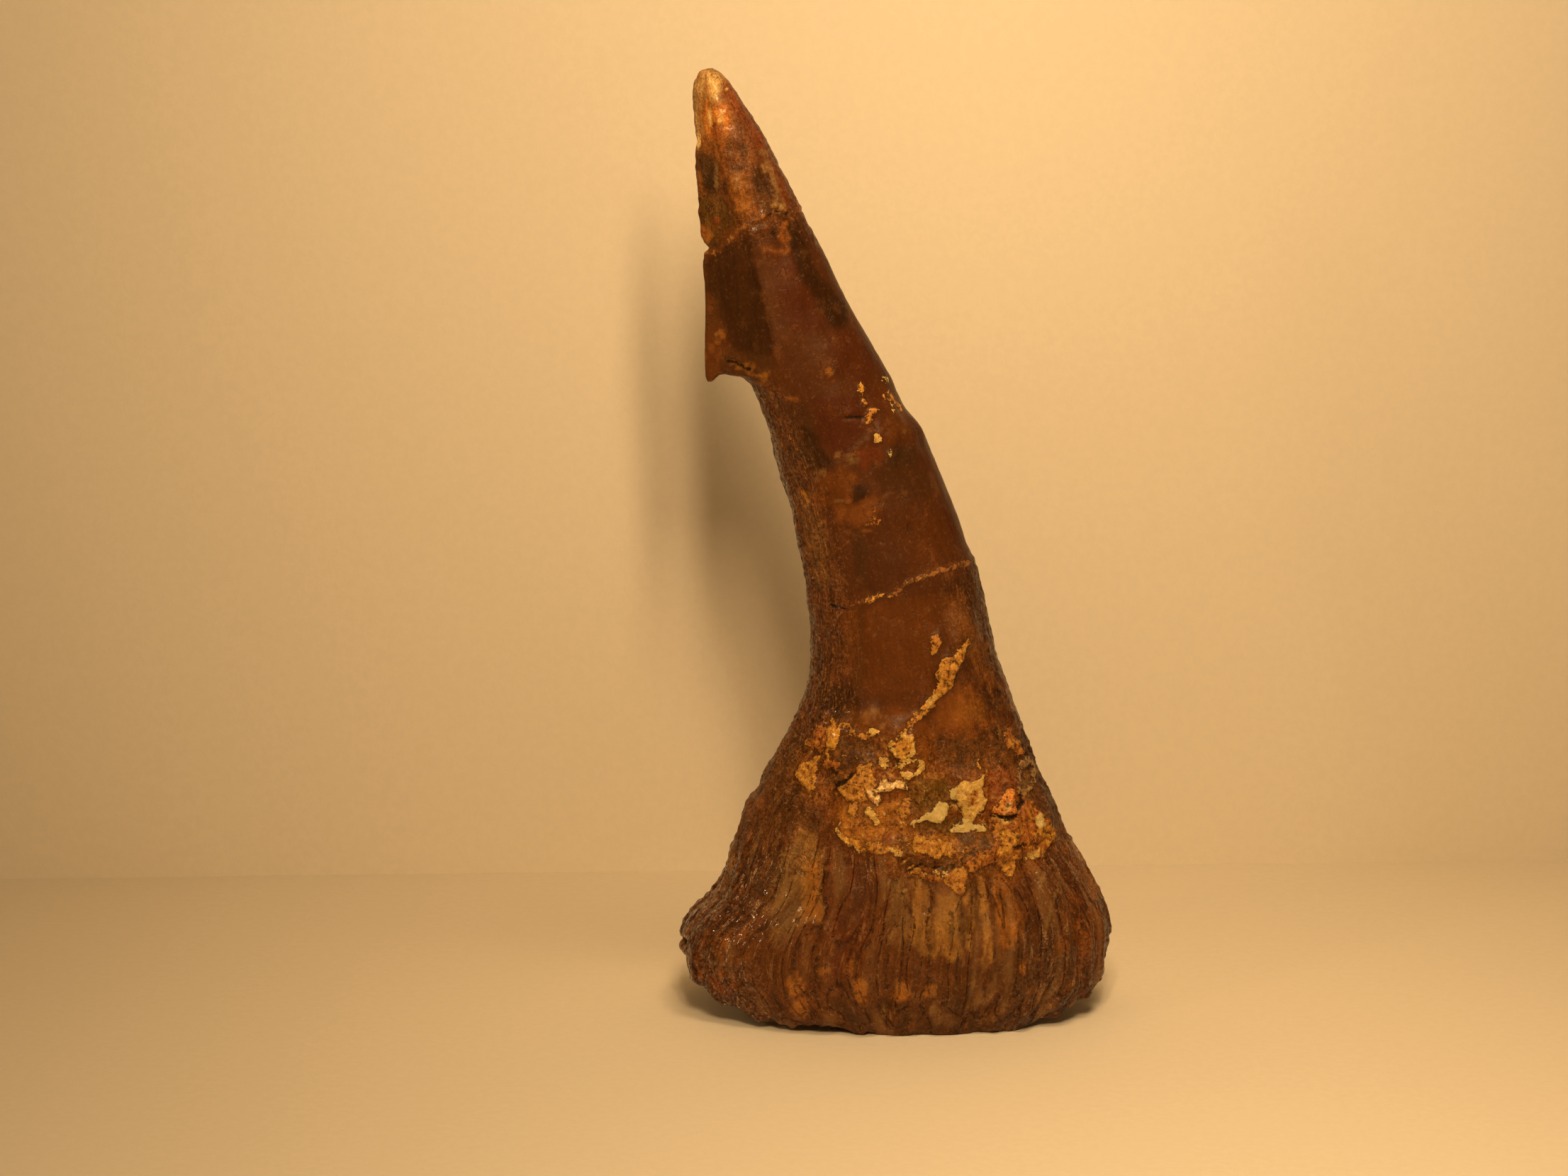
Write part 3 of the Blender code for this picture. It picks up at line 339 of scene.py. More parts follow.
# Mineral plates fused to the front: (colour, thickness, corners of the outline)
FRONT_PLATES = (
    # left of the band
    ("gold", 0.26, ((-4.7, 22.8), (-4.4, 22), (-4, 21.5), (-4.1, 20.8), (-4.5, 20.3), (-4.9, 20.2),
        (-5, 19.1), (-5.2, 19.3), (-5.2, 20.4), (-5, 21), (-4.9, 21.9))),
    ("rust_crust", 0.16, ((-6.5, 20.5), (-5.9, 21.3), (-5.1, 21.9), (-4.9, 21.2), (-5.3, 20.4), (-5.6, 19.9),
        (-6.2, 19.9))),
    ("tan_crust", 0.24, ((-7.1, 18.7), (-6.3, 19.4), (-5.7, 19.7), (-5.3, 19.3), (-5.7, 18.6), (-5.6, 17.6),
        (-5.9, 17.2), (-6.4, 17.1), (-6.7, 17.6), (-7.3, 18.1))),
    ("rust_crust", 0.14, ((-5.3, 19.5), (-4.4, 19.7), (-3.9, 19.4), (-4.4, 18.9), (-5.1, 18.8))),
    ("straw", 0.2, ((-2.1, 21.9), (-1.7, 22.1), (-1.4, 21.8), (-1.6, 21.4), (-1.9, 21.4))),
    # rings and ridge
    ("gold", 0.12, ((-0.4, 20.7), (0, 21.3), (0.6, 22), (1.2, 21.6), (1.3, 20.9), (0.9, 20.2), (0.4, 20.1),
        (-0.3, 20.2))),
    ("straw", 0.22, ((-1.3, 19.9), (-0.6, 20), (-0.3, 19.7), (-0.5, 19.2), (-0.9, 18.9), (-1.2, 19.3))),
    ("straw", 0.2, ((1.4, 19.9), (1.9, 19.8), (2.1, 19.3), (1.6, 18.8), (1.3, 19), (1.5, 19.4))),
    ("straw", 0.2, ((0.2, 18.9), (0.9, 19.1), (1.3, 18.8), (1.1, 18.4), (0.5, 18.4))),
    ("tan_crust", 0.3, ((-4.3, 17.8), (-3.3, 18.7), (-2.9, 19.4), (-1.9, 19.6), (-1.8, 18.9), (-1.5, 18),
        (-1.2, 17.3), (-1.3, 16.9), (-1.9, 17), (-2.6, 16.9), (-3.4, 17.1), (-3.7, 16.8), (-4, 17.4))),
    ("cream", 0.14, ((-2.1, 17.5), (-1.6, 17.9), (-1.2, 17.4), (-1.3, 16.8), (-1.8, 16.9))),
    ("cream", 0.22, ((-1.4, 18.5), (-1, 18.6), (-0.4, 18.3), (0.1, 18.4), (0.7, 18.1), (0.8, 17.7),
        (0.4, 17.6), (-0.2, 17.8), (-1, 17.8), (-1.4, 17.9))),
    ("straw", 0.16, ((-2.3, 16.4), (-1.8, 16.4), (-1.4, 15.9), (-1.3, 15.4), (-1.6, 15.2), (-1.9, 15.7),
        (-2.3, 15.9))),
    # lower left
    ("tan_crust", 0.1, ((-3.6, 16.8), (-2.9, 16.9), (-2.5, 16.2), (-2.9, 15.9), (-3.5, 16.1))),
    ("gold", 0.2, ((-4.2, 14.9), (-3.7, 14.6), (-3.1, 14.1), (-2.4, 13.9), (-2.3, 13.5), (-2.8, 13.3),
        (-3.4, 13.8), (-4.1, 14.4))),
    ("ochre", 0.14, ((-2.4, 14), (-1, 14.1), (0.4, 13.9), (0.4, 13.5), (-0.8, 13.3), (-2.2, 13.3))),
    ("straw", 0.24, ((-0.6, 13.5), (-0.2, 13.6), (0.2, 13.4), (0.5, 13.6), (0.5, 13.1), (0.1, 12.9),
        (-0.4, 13))),
    ("ochre", 0.14, ((0.2, 17), (1, 17), (1.1, 16), (0.6, 15.8), (0.1, 16.1))),
    ("straw", 0.16, ((0.9, 15.5), (1.2, 15.5), (1.4, 14.8), (1.1, 14.7))),
    # middle
    ("sage", 0.28, ((0.8, 15.4), (1.5, 16), (2.3, 16.2), (2.8, 16.7), (3.5, 16.8), (3.8, 16.4), (3.7, 15.9),
        (3.2, 15.4), (2.6, 15.5), (1.9, 15.6))),
    ("sage", 0.16, ((3.9, 17.4), (4.2, 17.9), (4.7, 18.3), (4.9, 17.6), (4.5, 17.1), (4.3, 16.7), (4, 17))),
    ("straw", 0.3, ((4.2, 17.1), (4.6, 18.1), (5.3, 18.3), (5.8, 18.3), (6.3, 18.7), (6.2, 17.9), (6, 17.5),
        (6.3, 16.9), (6.2, 16.2), (5.8, 15.9), (5.5, 15.5), (5, 15.6), (4.6, 15.9), (4.5, 16.5))),
    ("sage", 0.2, ((3.6, 14.9), (4.2, 15.3), (4.7, 15.2), (5, 15.7), (5.6, 15.7), (5.5, 15.2), (5.9, 15.1),
        (6.4, 15.2), (6.3, 14.7), (5.6, 14.7), (5, 14.5), (4.4, 14.6))),
    ("ochre", 0.34, ((5.2, 17.3), (5.7, 17.4), (5.8, 16.7), (5.3, 16.6))),
    ("tan_crust", 0.26, ((0.9, 13.9), (1.3, 14.5), (1.9, 14.5), (2.3, 14.1), (3, 14.2), (3.9, 13.9),
        (4.3, 13.5), (3.9, 13), (2.9, 13), (2.2, 13.2), (1.7, 13.6), (1.1, 13.6))),
    # right
    ("amber", 0.34, ((7.8, 17.5), (8.2, 17.4), (8.8, 16.2), (8.5, 15.7), (7.5, 15.7), (6.7, 15.8),
        (6.9, 16.4), (7.4, 16.8))),
    ("cream", 0.38, ((7.7, 16.7), (8, 16.7), (8.1, 16.2), (7.7, 16.1))),
    ("rust_crust", 0.22, ((6.9, 15.4), (8.2, 15.3), (9.2, 16.4), (10, 16.2), (10.6, 15.4), (11.4, 14.2),
        (11.6, 12.9), (10.4, 12.3), (9.4, 12.6), (8.6, 12.2), (7.4, 12.2), (6.6, 13), (7, 14.2))),
    ("gold", 0.3, ((7.2, 13.6), (7.3, 14.3), (8, 14.6), (8.7, 14.2), (8.5, 13.6), (8, 13.3), (7.7, 12.9),
        (7.3, 13))),
    ("sage", 0.28, ((10, 15.5), (10.4, 15.5), (10.8, 14.8), (10.9, 14.1), (10.4, 14.1), (10.3, 14.7))),
    ("gold", 0.28, ((10.1, 14.3), (10.9, 14.6), (11.4, 13.9), (11.5, 13), (10.9, 12.8), (10.4, 13.5))),
    ("straw", 0.2, ((9.5, 12.8), (10.1, 13), (10.3, 12.6), (9.9, 12.1), (9.5, 12.2))),
    ("ochre", 0.2, ((6.9, 12.6), (8.4, 12.9), (8.9, 12.6), (8.5, 11.6), (8.1, 11.1), (7.7, 11.3), (7.6, 12),
        (7, 12.2))),
    ("gold", 0.24, ((7.6, 12), (8.3, 12.1), (8.4, 11.5), (7.9, 11.3))),
    ("rust_crust", 0.2, ((7.8, 21.3), (8.4, 21.6), (8.7, 20.6), (9.3, 19.6), (9.3, 19), (8.7, 19.1),
        (8.3, 19.9), (7.9, 20.5))),
    ("gold", 0.14, ((5.5, 19.4), (6, 19.5), (6.3, 19), (5.8, 18.8))),
    # lower edge of the band
    ("ochre", 0.18, ((0.7, 12.3), (1.2, 12.5), (1.8, 12.2), (2, 11.8), (1.3, 11.8), (0.8, 11.9))),
    ("rust_crust", 0.16, ((1.7, 11.8), (2.6, 11.7), (3.4, 11.7), (3.4, 11.2), (2.6, 11.1), (1.9, 11.2))),
    ("ochre", 0.2, ((3.4, 11.9), (4.2, 12.4), (5.1, 12.4), (5, 11.4), (4.9, 10.7), (4.7, 10.2), (4.2, 10.3),
        (3.9, 10.8), (3.5, 11.2))),
    ("rust_crust", 0.18, ((4.9, 12.6), (5.6, 13.3), (6.6, 13.5), (7, 13), (6.8, 12.4), (5.8, 12.1),
        (5.1, 12))),
    # the slanting strip above the band
    ("tan_crust", 0.24, ((5.1, 28.3), (5.3, 27.9), (4.8, 27.2), (4.4, 26.4), (4, 25.3), (3.6, 24.5),
        (3.2, 24.2), (3, 24.9), (2.9, 25.9), (3.1, 26.9), (3.9, 27.1), (4.5, 27.5))),
    ("tan_crust", 0.2, ((3.2, 24.3), (2.6, 23.4), (2, 23), (1.6, 23.2), (2.3, 24), (2.7, 25.2), (3, 25.4))),
    ("straw", 0.25, ((2.2, 24), (2.7, 24.6), (3.1, 24.4), (2.6, 23.6), (2.1, 23.4))),
    ("ochre", 0.14, ((1.9, 23.3), (1.5, 22.4), (1.1, 21.8), (0.7, 22.3), (1.3, 23))),
    ("ochre", 0.16, ((2.5, 28.7), (3, 28.8), (3.1, 28), (3, 27.3), (2.5, 27.3), (2.4, 27.9))),
    # specks on the upper shaft
    ("gold", 0.16, ((-2.9, 46.6), (-2.6, 46.9), (-2.3, 46.4), (-2.4, 46), (-2.8, 46))),
    ("ochre", 0.16, ((-2.7, 45.6), (-2.4, 45.7), (-2.2, 45.3), (-2.4, 45), (-2.7, 45.2))),
    ("ochre", 0.16, ((-2.3, 44.4), (-1.9, 44.9), (-1.5, 44.9), (-1.6, 44.4), (-1.9, 43.9), (-2.3, 43.9))),
    ("straw", 0.24, ((-1.9, 43.2), (-1.3, 43.2), (-1.1, 42.8), (-1.3, 42.4), (-1.6, 42.5))),
    ("ochre", 0.1, ((-1, 45.9), (-0.7, 45.9), (-0.4, 45.5), (0, 45.1), (0.3, 44.8), (0.2, 44.5),
        (-0.2, 44.9), (-0.7, 45.4))),
    ("sage", 0.12, ((-0.8, 42.2), (-0.4, 42.3), (-0.4, 41.7), (-0.8, 41.6))),
    ("sage", 0.1, ((-1.2, 46.8), (-0.9, 46.9), (-0.7, 46.5), (-1, 46.4))),
    ("straw", 0.1, ((-0.6, 44.8), (-0.35, 44.9), (-0.3, 44.6), (-0.5, 44.5))),
)

# Loops of crust on the front: (colour, x, height, half width, half height, width, thickness)
FRONT_LOOPS = (
    ("straw", 0.4, 20.8, 0.85, 0.75, 0.26, 0.3),
    ("ash", 9.5, 17.9, 0.6, 0.85, 0.36, 0.2),
    ("straw", 5.2, 17, 0.75, 0.85, 0.14, 0.36),
    ("straw", 0.85, 19.3, 0.75, 0.55, 0.26, 0.22),
)

# Lines of crust on the front: (colour, corners, half width, thickness)
FRONT_VEINS = (
    ("straw", ((-4.1, 15.4), (-4.25, 14.9), (-4.1, 14.4), (-3.4, 13.8), (-2.7, 13.3)), 0.08, 0.3),
    ("ochre", ((-4.2, 21.9), (-3.4, 21.8), (-2.7, 21.5), (-2, 21.3)), 0.2, 0.14),
    ("tan_crust", ((-3.9, 20.1), (-3.3, 20.2), (-2.6, 20)), 0.07, 0.12),
    ("straw", ((2, 12), (2.6, 11.9), (3.1, 11.95), (3.5, 12.1)), 0.07, 0.2),
    ("tan_crust", ((0.2, 14.4), (0.7, 13.8)), 0.06, 0.12),
    ("straw", ((6.9, 15.5), (7.4, 15.2), (7.9, 15.4)), 0.12, 0.2),
    ("rust_crust", ((-2.3, 36.6), (-1.5, 37), (-1.5, 38)), 0.12, 0.1),
    ("tan_crust", ((-2.1, 31.25), (-1.2, 31.5), (-0.4, 31.8)), 0.11, 0.14),
    ("tan_crust", ((0.5, 32.3), (1.3, 32.6), (2, 32.9)), 0.08, 0.14),
)

# The part of the front band that is thick with mineral grains
BAND = (
    (-7.4, 18), (-6, 20.8), (-4.6, 22.8), (-3.8, 22), (-1.2, 21.4), (0.8, 22.2), (1.8, 20.2), (2.6, 18.8),
    (4.2, 18.2), (6.4, 19.2), (6.8, 17.4), (9, 17), (10.8, 16), (12, 13.6), (11.6, 12.4), (9.6, 12.2),
    (8, 10.8), (6.8, 12.2), (5.2, 11.6), (4.4, 9.8), (3.6, 11), (0.8, 11.6), (-2.4, 12.8), (-4.4, 14.4),
    (-4.2, 17), (-6.6, 16.6),
)

# Healed cracks filled with pale mineral, right through the spine, as (x, height)
SEAMS = (
    ((-14.4, 55.7), (-13.2, 55.7), (-12.3, 56.6), (-11.5, 57.5), (-11, 57.9), (-10.3, 58.4), (-9.6, 58.7),
        (-8.3, 59.1), (-7, 58.9)),
    ((-4, 30.7), (-2.4, 31.1), (-1.5, 31.4), (-0.6, 31.7), (0.1, 32.1), (0.8, 32.5), (1.5, 32.7), (2.3, 33),
        (3.3, 33.3), (6.2, 33.5)),
)
# Open cracks: (corners on the front, half width)
CRACKS = (
    (((-4.9, 30.6), (-4.4, 30.5), (-3.8, 30.5)), 0.08),
    (((-3.7, 44.5), (-2.5, 44.4)), 0.045),
    (((-2.9, 19), (-3.5, 18.5), (-4.3, 17.9)), 0.07),
    (((-9.5, 58.6), (-8.6, 59), (-7.8, 58.8)), 0.04),
    (((8.4, 13.4), (8.8, 13.3), (9.3, 13.5)), 0.08),
    (((6.8, 15.6), (7.6, 15.5), (8.5, 15.5), (9, 16.1), (9, 16.9)), 0.07),
    (((0.6, 12), (1.6, 12.5), (3.4, 12.2), (4.2, 12.5)), 0.035),
    (((-12.2, 48), (-11.2, 47.9), (-10.6, 47.6)), 0.06),
)
# Ridges raised on the front: (corners, half width, height)
RIDGES = (
    (((-10.5, 57.6), (-10.1, 55), (-9.3, 52), (-8.8, 50), (-8.6, 48.6)), 0.5, 0.14),
    (((-6.3, 39.9), (-5.2, 40.6), (-4.1, 41), (-3.3, 41.8), (-2.4, 42.6)), 0.25, 0.1),
    (((-5.15, 12.6), (-5.05, 10), (-5.2, 7.6)), 0.3, 0.16),
    (((10.3, 11.3), (11.1, 9), (12, 6.6)), 0.25, 0.12),
)

# Small dents and notches in the left edge: (x, height, how far right, reach)
DENTS = (
    (-14.7, 8.2, 0.42, 0.8),
    (-15.6, 4.95, 0.5, 0.3),
    (-10.4, 16.5, 0.35, 0.8),
    (-14.4, 64, 0.12, 0.6),
)

# ---------------------------------------------------------------- places on the back face

BACK_AREAS = (
    # tip
    ("sienna", 0.8, 0.5, "streaky", ((-15, 56), (-15, 63), (-10.5, 63), (-7.4, 59), (-9, 57.6), (-13, 56))),
    ("chestnut", 0.9, 0.8, "streaky", ((-15, 62.8), (-15, 70), (-11.6, 70), (-10.6, 66), (-10.4, 62.8),
        (-12.6, 62.2))),
    ("horn", 0.85, 0.3, "blotchy", ((-15, 65), (-15, 70), (-11.5, 70), (-11.9, 67.6), (-13.2, 67.2),
        (-13.8, 65.2))),
    ("rust", 0.7, 0.3, "streaky", ((-12.2, 68), (-11.6, 67.6), (-9.4, 63.2), (-8.2, 60.2), (-9, 60),
        (-10.8, 64))),
    ("slate", 0.7, 0.4, "blotchy", ((-12.2, 63), (-10.6, 62.6), (-9.4, 60.2), (-10.8, 59.6), (-12.2, 61))),
    ("clay", 0.8, 0.3, "blotchy", ((-13.6, 61.6), (-12.6, 61.8), (-12.2, 60.2), (-13.2, 59.4))),
    ("olive", 0.5, 0.5, "streaky", ((-14.6, 60), (-12.9, 60), (-12.6, 57.4), (-14.4, 56.6))),
    # blade and shaft
    ("bister", 0.85, 0.3, "soft", ((-14.2, 55.4), (-11, 57.2), (-10, 54), (-9.6, 50.2), (-12, 48.8),
        (-14.2, 50))),
    ("oxblood", 0.9, 0.5, "soft", ((-10.6, 57), (-7, 57.6), (-2.6, 48), (-0.6, 44), (-4.6, 42.8),
        (-9.4, 48))),
    ("bister", 0.8, 0.35, "blotchy", ((-7.4, 56.4), (-6, 56.6), (-4.4, 52.6), (-5.4, 51.8), (-6.8, 54))),
    ("sienna", 0.6, 0.4, "blotchy", ((-14, 49.6), (-11.6, 49.4), (-10.6, 47.4), (-12.8, 46.9),
        (-14.2, 47.4))),
    ("umber", 0.7, 0.6, "streaky", ((-9.4, 46.6), (-5.4, 46.8), (-4.4, 40), (-4.2, 34), (-6.8, 34),
        (-8.2, 40))),
    ("plum", 0.6, 0.6, "soft", ((-4.4, 44), (0.6, 43), (3.4, 35), (-1, 34), (-3.6, 38))),
    ("sienna", 0.8, 0.4, "blotchy", ((-4.6, 37.6), (-1.8, 38.2), (-0.4, 35.2), (-2.4, 33.8), (-4.6, 34.6))),
    ("oxblood", 0.8, 0.6, "soft", ((-3.8, 32.4), (3, 33), (5.2, 27), (3, 24.4), (-2.8, 24.6), (-4.2, 28))),
    ("bister", 0.8, 0.4, "streaky", ((4, 33), (6, 32.6), (8.6, 25), (6.8, 24.6), (4.8, 29))),
    ("olive", 0.6, 0.4, "streaky", ((-6.6, 32), (-4.8, 32), (-4.6, 25), (-7, 24.6))),
    # the crusted band
    ("sienna", 0.9, 0.5, "blotchy", ((-8, 18.4), (-6.4, 20.8), (-4, 22.4), (0, 21.8), (4.4, 22.6), (8.8, 21),
        (10.6, 17.6), (11.8, 13.6), (8.6, 11.8), (4, 12.4), (-1, 11.8), (-5.4, 13.2), (-7.8, 15.6))),
    ("ochre", 0.7, 0.3, "blotchy", ((-5.6, 16), (-2.6, 17.4), (1.2, 17.2), (5.6, 18.6), (7.2, 16),
        (4.4, 13.4), (0, 13.2), (-4.2, 14))),
    ("olive", 0.9, 0.25, "blotchy", ((-0.6, 19.4), (1.6, 19.6), (3, 17.6), (1.2, 16.6), (-1, 17.4))),
    ("umber", 0.8, 0.25, "blotchy", ((4.4, 21.4), (6.6, 21), (7.2, 19.2), (5, 18.8))),
    ("bister", 0.8, 0.2, "blotchy", ((-4.6, 21.4), (-3, 21.8), (-2.2, 20.4), (-3.8, 19.6))),
    ("rust", 0.7, 0.25, "blotchy", ((-7.4, 18.2), (-5.6, 19.2), (-4.8, 17.2), (-6.4, 16.2))),
    # root
    ("plum", 0.6, 0.5, "streaky", ((-5.8, 13.6), (-3.4, 12.8), (-3, 5.4), (-5.6, 5.2))),
    ("ash", 0.5, 0.35, "streaky", ((5.6, 13), (8, 12.4), (9.4, 7), (7.4, 6), (6.2, 9))),
    ("tan", 0.85, 0.25, "streaky", ((-9.4, 13), (-7, 13.8), (-6.4, 8), (-8.4, 6.2), (-9.6, 9.4))),
    ("tan", 0.8, 0.3, "streaky", ((-2.6, 11.4), (-0.6, 11.6), (-0.4, 6.2), (-2.2, 5.8))),
    ("clay", 0.8, 0.25, "streaky", ((-0.2, 11.6), (1.4, 11.4), (1.8, 6.8), (0.4, 6.4))),
    ("tan", 0.85, 0.25, "streaky", ((2.6, 11.8), (4.6, 11.6), (5.2, 6.8), (3.4, 6.4))),
    ("bister", 0.5, 0.5, "streaky", ((-12, 5.6), (-4, 5), (4, 5.4), (9, 6.2), (13, 9), (13.4, 3), (10, 0),
        (-12, 0))),
    ("sienna", 0.6, 0.5, "blotchy", ((-15.6, 8.6), (-13.2, 9.4), (-12.4, 4.2), (-15, 3.2))),
)
BACK_STAINS = (
    # as on the front, pale enamel at the top of the tip with a painted highlight
    ("cream", -13, 67.6, 0.6, 1.2, 0, 0.9, "streaky"),
    ("amber", -12.5, 65.6, 1, 1.8, 4, 0.9, "streaky"),
    ("chestnut", -11.6, 63, 1.6, 1.6, 12, 0.7, "streaky"),
    ("slate", -10.4, 60.6, 1, 1, 20, 0.7, "blotchy"),
    ("clay", -12.6, 59.6, 0.7, 1.2, 0, 0.6, "blotchy"),
    ("bister", -11.6, 53.6, 1.4, 3, 6, 0.8, "streaky"),
    ("plum", -7.6, 53, 1.6, 3, 22, 0.5, "soft"),
    ("bister", -5, 50.4, 0.8, 1.8, 24, 0.8, "streaky"),
    ("sienna", -12.6, 49.2, 1.1, 1.4, 0, 0.6, "blotchy"),
    ("oxblood", -3.4, 45, 1.8, 2.2, 20, 0.6, "soft"),
    ("bister", -5.6, 41.6, 1, 2.4, 16, 0.8, "soft"),
    ("umber", 0.4, 38, 1.2, 3.4, 14, 0.6, "streaky"),
    ("sienna", -2.6, 35.6, 1.7, 1.9, 10, 0.7, "blotchy"),
    ("chestnut", 2.4, 31.6, 1.3, 3, 10, 0.6, "streaky"),
    ("bister", -3.4, 28.4, 1.2, 2.6, 0, 0.6, "streaky"),
    ("sienna", 1.6, 26.4, 2, 2.4, 0, 0.6, "soft"),
    ("olive", 1.2, 18.2, 2, 1.2, 0, 0.8, "blotchy"),
    ("sienna", -4.6, 17.6, 2.6, 2, 0, 0.6, "blotchy"),
    ("plum", 6.4, 20.4, 1.6, 2, 12, 0.5, "blotchy"),
    ("tan", -6.6, 10.6, 0.9, 3.4, -6, 0.85, "streaky"),
    ("ash", -3.4, 9.4, 1.2, 3, -2, 0.5, "streaky"),
    ("clay", 0.6, 9.8, 1, 3.2, 0, 0.7, "streaky"),
    ("tan", 4.4, 9.4, 1.3, 3, 6, 0.75, "streaky"),
    ("clay", 8.6, 8.6, 1, 2.6, 12, 0.7, "streaky"),
    ("umber", -7.6, 3.6, 3.6, 2, 0, 0.6, "soft"),
    ("clay", 3.4, 3.4, 0.9, 0.8, 0, 0.8, "blotchy"),
    ("clay", -1.8, 4.2, 0.7, 0.9, 0, 0.8, "blotchy"),
    ("sienna", 9.6, 4.4, 2.6, 1.8, 0, 0.5, "blotchy"),
)
BACK_PLATES = (
    ("tan_crust", 0.28, ((-4.6, 20), (-2.6, 21.2), (-0.6, 20.2), (-0.2, 18.2), (-2, 17), (-4.4, 17.8))),
    ("straw", 0.1, ((-3.2, 19.4), (-1.8, 19.9), (-1, 18.8), (-2.2, 17.9))),
    ("gold", 0.26, ((0.4, 21.6), (2.4, 21.8), (3.8, 20.6), (2.6, 19.6), (0.8, 19.8))),
    ("rust_crust", 0.28, ((2.6, 18.8), (4.8, 19.2), (6.8, 17.8), (6.2, 16), (3.8, 15.8), (2.4, 17))),
    ("ochre", 0.26, ((-1.8, 16.8), (0.8, 17), (3, 15.8), (2.2, 14.4), (-0.6, 14.4), (-2.2, 15.4))),
    ("sage", 0.12, ((3.6, 17.8), (5, 18.2), (5.6, 17), (4.2, 16.6))),
    ("tan_crust", 0.22, ((-7, 16.8), (-5.4, 17.4), (-4.2, 16), (-5.4, 14.6), (-6.8, 15.2))),
    ("straw", 0.2, ((0.6, 34.8), (1.6, 34.4), (1.8, 32.4), (1, 31.4), (0.4, 33))),
    ("gold", 0.16, ((-6.4, 44), (-5.6, 44.4), (-5.4, 43.2), (-6, 42.8))),
)
BACK_LOOPS = (
    ("straw", 4.2, 20.6, 0.8, 0.7, 0.26, 0.18),
    ("ash", -6.8, 19.2, 0.6, 0.8, 0.24, 0.14),
)
BACK_VEINS = (
    ("gold", ((-2.4, 14.6), (-0.8, 13.6), (1.6, 13.4), (3.2, 14.4)), 0.2, 0.24),
    ("tan_crust", ((5.6, 26.8), (4.6, 25.4), (3.6, 23.6), (3, 22)), 0.28, 0.2),
)

# The lamps: name, place, target and size in mm, spread in degrees, and share of the lamps' power
LAMPS = (
    ("lamp_right", (9.6, -138, 145), (8, 36, 80), (10, 60), 140, 1),
    ("lamp_left", (-8.5, -138, 145), (8, 36, 80), (10, 60), 140, 1),
    ("beam_right", (9.6, -138, 145), (8, 36, 80), (10, 60), 60, 0.2),
    ("beam_left", (-8.5, -138, 145), (8, 36, 80), (10, 60), 60, 0.2),
    ("overhead", (40, -70, 200), (30, -60, 0), (60, 60), 60, 0.49),
    ("soft_top", (30, -90, 230), (20, -50, 0), (120, 120), 110, 0.21),
    ("glint_left", (-150, -110, 110), (-8, 0, 12), (14, 14), 60, 0.05),
)
FLOOR_SIZE, BACKDROP_SIZE = (8, 8), (1.2, 0.6)  # in metres
BACKDROP_ASIDE, BACKDROP_HEIGHT = -8, 300  # the backdrop's middle, in mm
CAMERA_TARGET = (-8.14, 0, 31.3)  # in mm
CAMERA_CLIP = (0.01, 50)  # in metres


# ---------------------------------------------------------------- what a user would change

def number(name, description, default, **more):
    return FloatProperty(name=name, description=description, default=default, **more)


def length(name, description, default):
    return number(name, description, default, unit="LENGTH", precision=5)


def angle(name, description, degrees):
    return number(name, description, math.radians(degrees), subtype="ANGLE")


def colour(name, description, default):
    return FloatVectorProperty(
        name=name, description=description, default=default, subtype="COLOR", min=0.0, max=1.0
    )


class SpineForm(bpy.types.PropertyGroup):
    """Sizes of the spine's fine relief."""

    grain: length("Grain", "Edge length of the sculpted mesh", 0.215 * MM)
    flutes: length("Flutes", "Depth of the fine flutes on the root", 0.22 * MM)
    fibres: length("Fibres", "Depth of the fibrous grain on the shaft", 0.09 * MM)
    wear: length("Wear", "Height of the uneven wear all over", 0.1 * MM)
    grit: length("Grit", "Height of the small lumps where the surface is broken", 0.15 * MM)
    crust: number("Crust", "Times the plates' own thickness", 1.0)
    seam: length("Seam", "Height of the mineral that fills a healed crack", 0.06 * MM)
    crack: length("Crack", "Depth of an open crack", 0.16 * MM)


